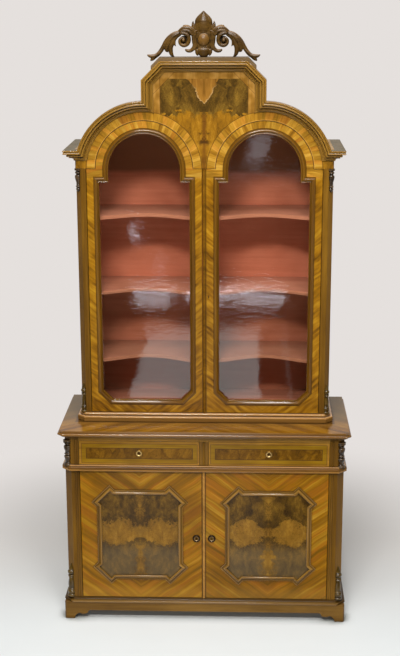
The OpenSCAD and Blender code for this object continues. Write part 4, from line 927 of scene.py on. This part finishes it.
FOOT_SHAPE = swollen([
    (0, 0.9), (0.04, 0.9), (0.06, 0.62), (0.09, 0.70), (0.13, 0.74), (0.17, 0.70), (0.20, 0.58), (0.22, 0.72),
    (0.24, 0.60), (0.34, 0.62), (0.48, 0.52), (0.58, 0.40), (0.60, 0.60), (0.62, 0.44), (0.64, 0.62), (0.66, 0.44),
    (0.69, 0.60), (0.73, 0.66), (0.77, 0.60), (0.80, 0.40), (0.82, 0.50), (0.90, 0.32), (0.96, 0.18), (1, 0.10)], 1.3)
DROP_SHAPE = swollen([
    (0, 0.10), (0.04, 0.36), (0.09, 0.58), (0.14, 0.60), (0.18, 0.40), (0.21, 0.62), (0.25, 0.64), (0.28, 0.40),
    (0.36, 0.46), (0.46, 0.62), (0.56, 0.78), (0.64, 0.84), (0.71, 0.74), (0.75, 0.46), (0.79, 0.72), (0.85, 0.74),
    (0.89, 0.50), (0.92, 0.86), (1, 0.90)], 1.12)
LONG_SHAPE = [
    (0, 1), (0.07, 0.95), (0.10, 0.58), (0.15, 0.52), (0.26, 0.74), (0.36, 0.86), (0.41, 0.52), (0.45, 0.82),
    (0.50, 0.52), (0.56, 0.60), (0.63, 0.80), (0.70, 0.88), (0.77, 0.84), (0.81, 0.52), (0.85, 0.74), (0.88, 0.60),
    (0.91, 1), (1, 1)]


def rounded(shape, steps=5):
    """The shape's points with smooth curves between them."""
    out = []
    for i in range(len(shape) - 1):
        p0, p1 = shape[max(i - 1, 0)], shape[i]
        p2, p3 = shape[i + 1], shape[min(i + 2, len(shape) - 1)]
        for k in range(steps):
            t = k / steps
            h = p1[0] + (p2[0] - p1[0]) * t
            m1 = (p2[1] - p0[1]) / max(p2[0] - p0[0], 1e-6) * (p2[0] - p1[0])
            m2 = (p3[1] - p1[1]) / max(p3[0] - p1[0], 1e-6) * (p2[0] - p1[0])
            r = ((2 * t ** 3 - 3 * t ** 2 + 1) * p1[1] + (t ** 3 - 2 * t ** 2 + t) * m1
                 + (3 * t ** 2 - 2 * t ** 3) * p2[1] + (t ** 3 - t ** 2) * m2)
            out.append((h, min(max(r, 0.1), 1.0)))
    return out + [shape[-1]]


def turning(name, m, place, z0, z1, shape, material, replaces=None):
    """Half turned piece against a post's cut corner, m is the side. The place has its radius with it."""
    x, y, radius = place
    out, along = Vector((m, -1, 0)).normalized(), Vector((1, m, 0)).normalized()
    axis = Vector((m * x, y, 0))
    rows = []
    for h, r in [(0, 0.02)] + rounded(shape) + [(1, 0.02)]:
        ring = [axis + radius * r * (math.cos(t) * out + math.sin(t) * along)
                for t in np.linspace(-math.pi / 2, math.pi / 2, 17)]
        rows.append([(p.x, p.y, z0 + h * (z1 - z0)) for p in ring])
    swept(name, rows, M[material], caps=False, slot="ebonised", angle=50, replaces=replaces)


def turnings():
    low, high = (580, -218, 19.04), (520, -94, 15)
    for side, m in SIDES:
        turning(f"drawer_baluster_{side}", m, low, 706.8, 818, LONG_SHAPE, "ebony", m < 0 and "lower_turnings")
        turning(f"lower_finial_{side}", m, low, 98.3, 251, FOOT_SHAPE, "stained")
        turning(f"upper_pendant_{side}", m, high, 1860, 1956.7, DROP_SHAPE, "ebony", m < 0 and "upper_turnings")
        turning(f"upper_finial_{side}", m, high, 906.3, 1035, FOOT_SHAPE, "stained")


# Carving

def spline(points, steps):
    """Smooth line through points of any width, by cubic curves."""
    pts = [np.array(q, float) for q in points]
    pts = [2 * pts[0] - pts[1]] + pts + [2 * pts[-1] - pts[-2]]
    out = []
    for i in range(1, len(pts) - 2):
        for k in range(steps):
            t = k / steps
            a, b, c, d = pts[i - 1:i + 3]
            out.append(0.5 * (2 * b + (c - a) * t + (2 * a - 5 * b + 4 * c - d) * t * t
                              + (3 * b - a - 3 * c + d) * t ** 3))
    return out + [pts[-2]]


def tube(rows):
    """Points and faces over closed rings, with flat ends."""
    return skin(rows, True, ((0, 0), (len(rows) - 1, 0)))[:2]


def finger(points, lift=0.0, deep=1.0, steps=6):
    """Closed tapering ridge along points of (x, height, half width), lift millimetres towards the front."""
    line = spline(points, steps)
    rows = []
    for i, (x, z, w) in enumerate(line):
        a, b = line[max(i - 1, 0)], line[min(i + 1, len(line) - 1)]
        t = np.array([b[0] - a[0], b[1] - a[1]])
        n = np.array([-t[1], t[0]]) / max(np.hypot(*t), 1e-6)
        w = max(w, 0.8)
        depth = (2.5 + 0.85 * w) * deep
        rows.append([(x + n[0] * w * math.cos(u), -lift - depth * math.sin(u), z + n[1] * w * math.cos(u))
                     for u in np.linspace(0, 2 * math.pi, 15)[:-1]])
    return tube(rows)


def knob(rx, ry, lift, shape):
    """Closed rounded body from (height, half width) rings, ry deep where it is rx wide."""
    return tube([[(w * math.cos(u), -lift - max(ry * w / rx, 1.0) * math.sin(u), h)
                  for u in np.linspace(0, 2 * math.pi, 29)[:-1]] for h, w in shape])


def ball(x, z, rx, rz, ry, lift):
    """Ellipsoid, its middle at x and height z."""
    points, faces = knob(rx, ry, lift, [(z + rz * math.sin(t), rx * math.cos(t))
                                        for t in np.linspace(-1.5, 1.5, 15)])
    return [(x + px, y, z) for px, y, z in points], faces


EYE = (80, 65)    # middle of the right volute, x and height over the capping


def scroll():
    """Spiral band of the volute, from the arm's top over towards the middle and in to the eye."""
    turns = [(66, 30, 6), (90, 28, 7.8), (135, 25.5, 8.2), (180, 21.5, 8.2), (225, 20.5, 7.8), (270, 19.5, 7.4),
             (315, 17.5, 6.8), (360, 15.2, 6.2), (405, 12, 5.4), (450, 9, 4.8), (500, 6, 4.4)]
    return [(EYE[0] + r * math.cos(math.radians(a)), EYE[1] + r * math.sin(math.radians(a)), w)
            for a, r, w in turns]


def carved_forms():
    """Forms of the carving's right half, as (mesh, mirrored too)."""
    arm = [
        finger([(84, 98, 5), (100, 96, 7.5), (120, 89, 8.5), (138, 76, 8.5), (151, 60, 8.5), (160, 43, 8.5),
                (170, 26, 8.5), (182, 12, 8.5), (194, 3, 8.5), (204, -6, 8), (210, -13, 4.5), (210, -16, 1)]),
        finger([(166, 30, 5), (176, 18, 7), (188, 8, 7.5), (201, 4, 8), (213, 4, 7), (221, 7, 4.5),
                (226, 10, 1)], 4),
        finger([(96, 94, 5), (114, 85, 8), (131, 71, 9), (141, 55, 9), (147, 40, 8.5), (150, 29, 6),
                (149, 20, 1.5)], 4),
        finger([(92, 88, 5), (108, 80, 8), (119, 68, 9.5), (126, 54, 10), (132, 37, 10), (131, 20, 9),
                (126, 8, 6.5), (118, 1.5, 2)], 1),
        finger([(114, 74, 5), (116, 60, 5), (115, 50, 4), (111, 42, 1)], 3),
        finger([(138, 46, 6), (143, 33, 6.5), (145, 24, 4), (144, 18, 1)])]
    volute = [finger(scroll(), 6, 1.15, 5), ball(*EYE, 7.5, 7.5, 13, 7), ball(*EYE, 18, 18, 6, -3)]
    leaf = [
        finger([(38, 90, 7), (46, 104, 10), (60, 112, 11), (76, 113, 9.5), (90, 107, 7), (104, 100, 1.5)], 1),
        finger([(46, 104, 6), (60, 116, 8), (72, 121, 5.5), (82, 123, 1.5)], -2),
        finger([(44, 86, 6), (56, 99, 7), (72, 104, 7), (88, 101, 5), (98, 97, 1.5)], 6),
        finger([(34, 92, 7), (38, 108, 9), (41, 122, 7.5), (42.5, 132, 4.5), (41, 141, 1)], -2)]
    wrap = [
        finger([(40, 106, 6), (42, 90, 7), (41, 74, 7), (39, 58, 7.5), (37, 46, 7.5), (42, 33, 8), (53, 25, 7.5),
                (65, 25, 6.5), (74, 30, 3)], 1),
        finger([(31, 104, 5), (34, 88, 6), (34, 72, 6), (31, 56, 6), (30, 44, 5.5), (35, 33, 5), (44, 26, 3),
                (51, 21, 1)], 4)]
    petal = finger([(24, 30, 6), (28, 22, 6.5), (26, 12, 5), (22, 5, 1.5)], 4)
    heart = [
        knob(35, 12, -1, [(88, 24), (95, 30), (104, 33.5), (116, 35), (128, 35.4), (139, 35), (148, 32.5),
                          (157, 26), (165, 18), (171, 11), (177, 5), (181, 1)]),
        knob(25, 15, 2, [(92, 16), (104, 22), (116, 24.5), (130, 25), (143, 23), (153, 18), (162, 12), (170, 7),
                         (176, 3), (179, 1)]),
        knob(33, 12, 0, [(30, 24), (42, 31), (58, 33), (76, 33), (92, 32), (108, 26)]),
        ball(0, 68, 24, 25, 16, 9),
        knob(27, 14, 0, [(36, 15), (38, 23), (41, 26), (44, 23), (46, 15)]),
        knob(30, 16, 1, [(0, 13), (2, 15), (6, 17.5), (12, 21.5), (18, 25.5), (24, 28.5), (29, 29.5), (34, 26),
                         (38, 19)])]
    return [(f, True) for f in arm + volute + leaf + wrap + [petal]] + [(f, False) for f in heart]


def carving():
    """Joins the forms into one carved body resting on the capping."""
    verts, faces = [], []
    mid = UP_FRONT - CORNICE / 2 + 2
    for (points, polys), twice in carved_forms():
        for m in ((1, -1) if twice else (1,)):
            start = len(verts)
            verts += [(m * x, mid + min(y, 12.0), z + CAP_TOP) for x, y, z in points]
            faces += [tuple(start + k for k in (q if m > 0 else reversed(q))) for q in polys]
    rough = solid_mesh("rough carving", verts, faces)
    face_outwards(rough)
    block = linked("rough carving", rough)
    remesh = block.modifiers.new("join", "REMESH")
    remesh.mode, remesh.voxel_size, remesh.adaptivity = "VOXEL", 0.0013, 0.0
    soft = block.modifiers.new("soften", "SMOOTH")
    soft.factor, soft.iterations = 0.5, 3
    mesh = bpy.data.meshes.new_from_object(block.evaluated_get(bpy.context.evaluated_depsgraph_get()))
    bpy.data.objects.remove(block)
    co = np.empty(len(mesh.vertices) * 3)
    mesh.vertices.foreach_get("co", co)
    co = co.reshape(-1, 3)
    # Nothing hangs below the capping, but for the arms' tips beyond its ends
    rest = CAP_TOP - np.maximum(np.abs(co[:, 0]) / MM - 177, 0)
    co[:, 2] = np.maximum(co[:, 2], rest * MM)
    mesh.vertices.foreach_set("co", co.ravel())
    mesh.materials.clear()
    mesh.materials.append(M["carving"])
    mesh.shade_smooth()
    mesh.name = "crest_carving"
    riding("crest_carving", mesh, replaces="carving")


# Camera, lamps and floor

def camera():
    """Camera solved from the photo's straight edges: its turn, focal length in pixels and place."""
    pitch, yaw, roll = math.radians(14.826), math.radians(-2.167), math.radians(0.198)
    forward = Vector((math.sin(yaw) * math.cos(pitch), math.cos(yaw) * math.cos(pitch), -math.sin(pitch)))
    right = Vector((math.cos(yaw), -math.sin(yaw), 0))
    down = forward.cross(right)
    across = math.cos(roll) * right + math.sin(roll) * down
    up = math.sin(roll) * right - math.cos(roll) * down
    data = bpy.data.cameras.new("camera")
    focal, tall = 1315.58, 656    # focal length and the photo's height, in pixels
    data.sensor_width = 36
    data.lens = focal * data.sensor_width / tall
    obj = linked("camera", data)
    turn = Matrix((across, up, -forward)).transposed()
    obj.matrix_world = Matrix.Translation((0.1840, -5.4762, 2.7053)) @ turn.to_4x4()
    bpy.context.scene.camera = obj


def lamp(name, place, target, size, power, colour=(1, 1, 1), roll=0):
    data = bpy.data.lights.new(name, "AREA")
    data.shape, data.size, data.size_y = "RECTANGLE", size[0], size[1]
    data.energy, data.color = power, colour
    obj = linked(name, data)
    obj.location = place
    aim = (Vector(target) - Vector(place)).to_track_quat("-Z", "Y").to_matrix()
    obj.rotation_euler = (aim @ Matrix.Rotation(math.radians(roll), 3, "Z")).to_euler()
    obj.visible_camera = False


WALL = (229, 224, 221)
DIM = (78, 64, 42)
COLD = (0.90, 0.90, 1.0)
# Small lamps well in front, for the streaks that the old glass mirrors: x, z, size, power, roll, colour
STREAKS = {
    "low strip 0": (0.08, 0.262, (0.80, 0.040), 0.75), "low strip 1": (0.15, 0.216, (0.62, 0.022), 0.32),
    "low strip 2": (0.24, 0.184, (0.30, 0.012), 0.07), "low strip 3": (-0.585, 0.258, (0.36, 0.045), 0.36),
    "low strip 4": (-0.60, 0.205, (0.26, 0.022), 0.14), "low strip 5": (-0.54, 0.172, (0.14, 0.012), 0.03),
    "low spot": (-0.72, 0.75, (0.04, 0.13), 0.10, 28), "high glow": (0.26, 1.44, (0.15, 0.24), 0.16, -12),
    "low streak": (-0.53, 0.47, (0.035, 0.2), 0.03), "high streak": (0.20, 1.42, (0.035, 0.23), 0.06, -30),
    "high band": (0.30, 1.22, (0.62, 0.05), 0.05, 0, (1, 1, 1))}


def seen_rays(s):
    """1 for rays that see the background: straight, mirrored or through glass."""
    return s.most(*(s.get("LightPath", f"Is {kind} Ray") for kind in ("Camera", "Glossy", "Transmission")))


def pale_floor():
    """Pale floor that keeps shadows near the object and fades into the wall's colour."""
    s = Shader("pale floor")
    x, y, _ = s.axes()
    speck = s.noise(s.coord(), 5, (), 3)
    near = s.mix(speck * 0.3, (226, 229, 228), (216, 217, 214))
    # Painted shade: the floor darker towards the back
    near = s.mix(s.step(y, -0.5, 0.7), near, (210, 206, 201))
    far = s.step(s.radius(x, y), 0.85, 2.2)
    s.colour = s.mix(far * (1.0 - s.step(y, 0.6, 0.1)), near, WALL)
    # In mirrors the front of the floor is dim, but for a patch that glows brighter than the floor and a narrow seam
    mirrored = s.get("LightPath", "Is Glossy Ray")
    patch = s.both(s.step(x, -0.625, -0.60), s.step(x, 0.28, 0.26), s.step(y, -4.94, -4.90))
    seam = s.both(s.line(x, 0.47, 0.008, 0.004), s.step(y, -4.94, -4.90))
    s.lay(mirrored * s.step(y, -0.3, -0.9) * (1.0 - s.most(patch, seam * 0.5)), DIM)
    # Painted shadow where the plinth meets the floor, and less glow under the case so that its own shadow shows
    under = s.both(s.step(abs(x), 0.68, 0.6), s.step(y, -0.36, -0.22)) * 0.8
    s.lay(s.both(s.step(s.open_to(0.06, 8), 0.95, 0.5), s.step(y, -0.15, -0.2)) * 0.72, (88, 88, 74))
    lit = s.get("BsdfDiffuse", 0, {"Color": s.colour})
    plain = s.get("Emission", 0, {"Color": s.colour, "Strength": 1.0 + mirrored * patch * 1.05})
    mesh = bpy.data.meshes.new("floor")
    mesh.from_pydata([(-14, -14, 0), (14, -14, 0), (14, 14, 0), (-14, 14, 0)], [], [(0, 1, 2, 3)])
    mesh.materials.append(s.blend(seen_rays(s) * (0.25 + far * 0.75) * (1.0 - under), lit, plain))
    linked("floor", mesh)


def studio():
    """Wall-coloured background and even soft light."""
    world = bpy.data.worlds.new("studio")
    bpy.context.scene.world = world
    s = Shader("studio", world)
    lit = s.get("Background", 0, {0: (1, 1, 1, 1), 1: 0.25})
    # Polished surfaces mirror a dim room in front and a bright ceiling
    x, y, z = s.axes(s.coord("Generated"))
    mirrored = s.get("LightPath", "Is Glossy Ray")
    ceiling = mirrored * s.step(z, 0.8, 0.95)
    room = s.mix(ceiling, s.mix(mirrored * s.step(y, 0.85, 0.45), WALL, DIM), (255, 255, 255))
    plain = s.get("Background", 0, {0: room, 1: 1.0 + ceiling * 1.5})
    s.blend(seen_rays(s), lit, plain, "OutputWorld")
    lamp("key", (-0.6, -5.0, 5.4), (0, 0, 1.3), (1.6, 0.6), 250)
    lamp("fill", (1.6, -5.0, 5.4), (0, 0, 1.2), (1.2, 0.6), 75)
    lamp("overhead", (0.0, -2.1, 5.1), (0, -0.1, 1.0), (2.8, 1.4), 150)
    for name, (x, z, size, power, *rest) in STREAKS.items():
        roll, colour = rest + [0, COLD][len(rest):]
        lamp(name, (x, -5.0, z), (x, 0, z), size, power, colour, roll)


dress_boards()
case_mouldings()
cornices()
crest()
octagon_mouldings()
sashes()
turnings()
carving()
camera()
pale_floor()
studio()
bpy.context.scene.view_settings.view_transform = "Standard"
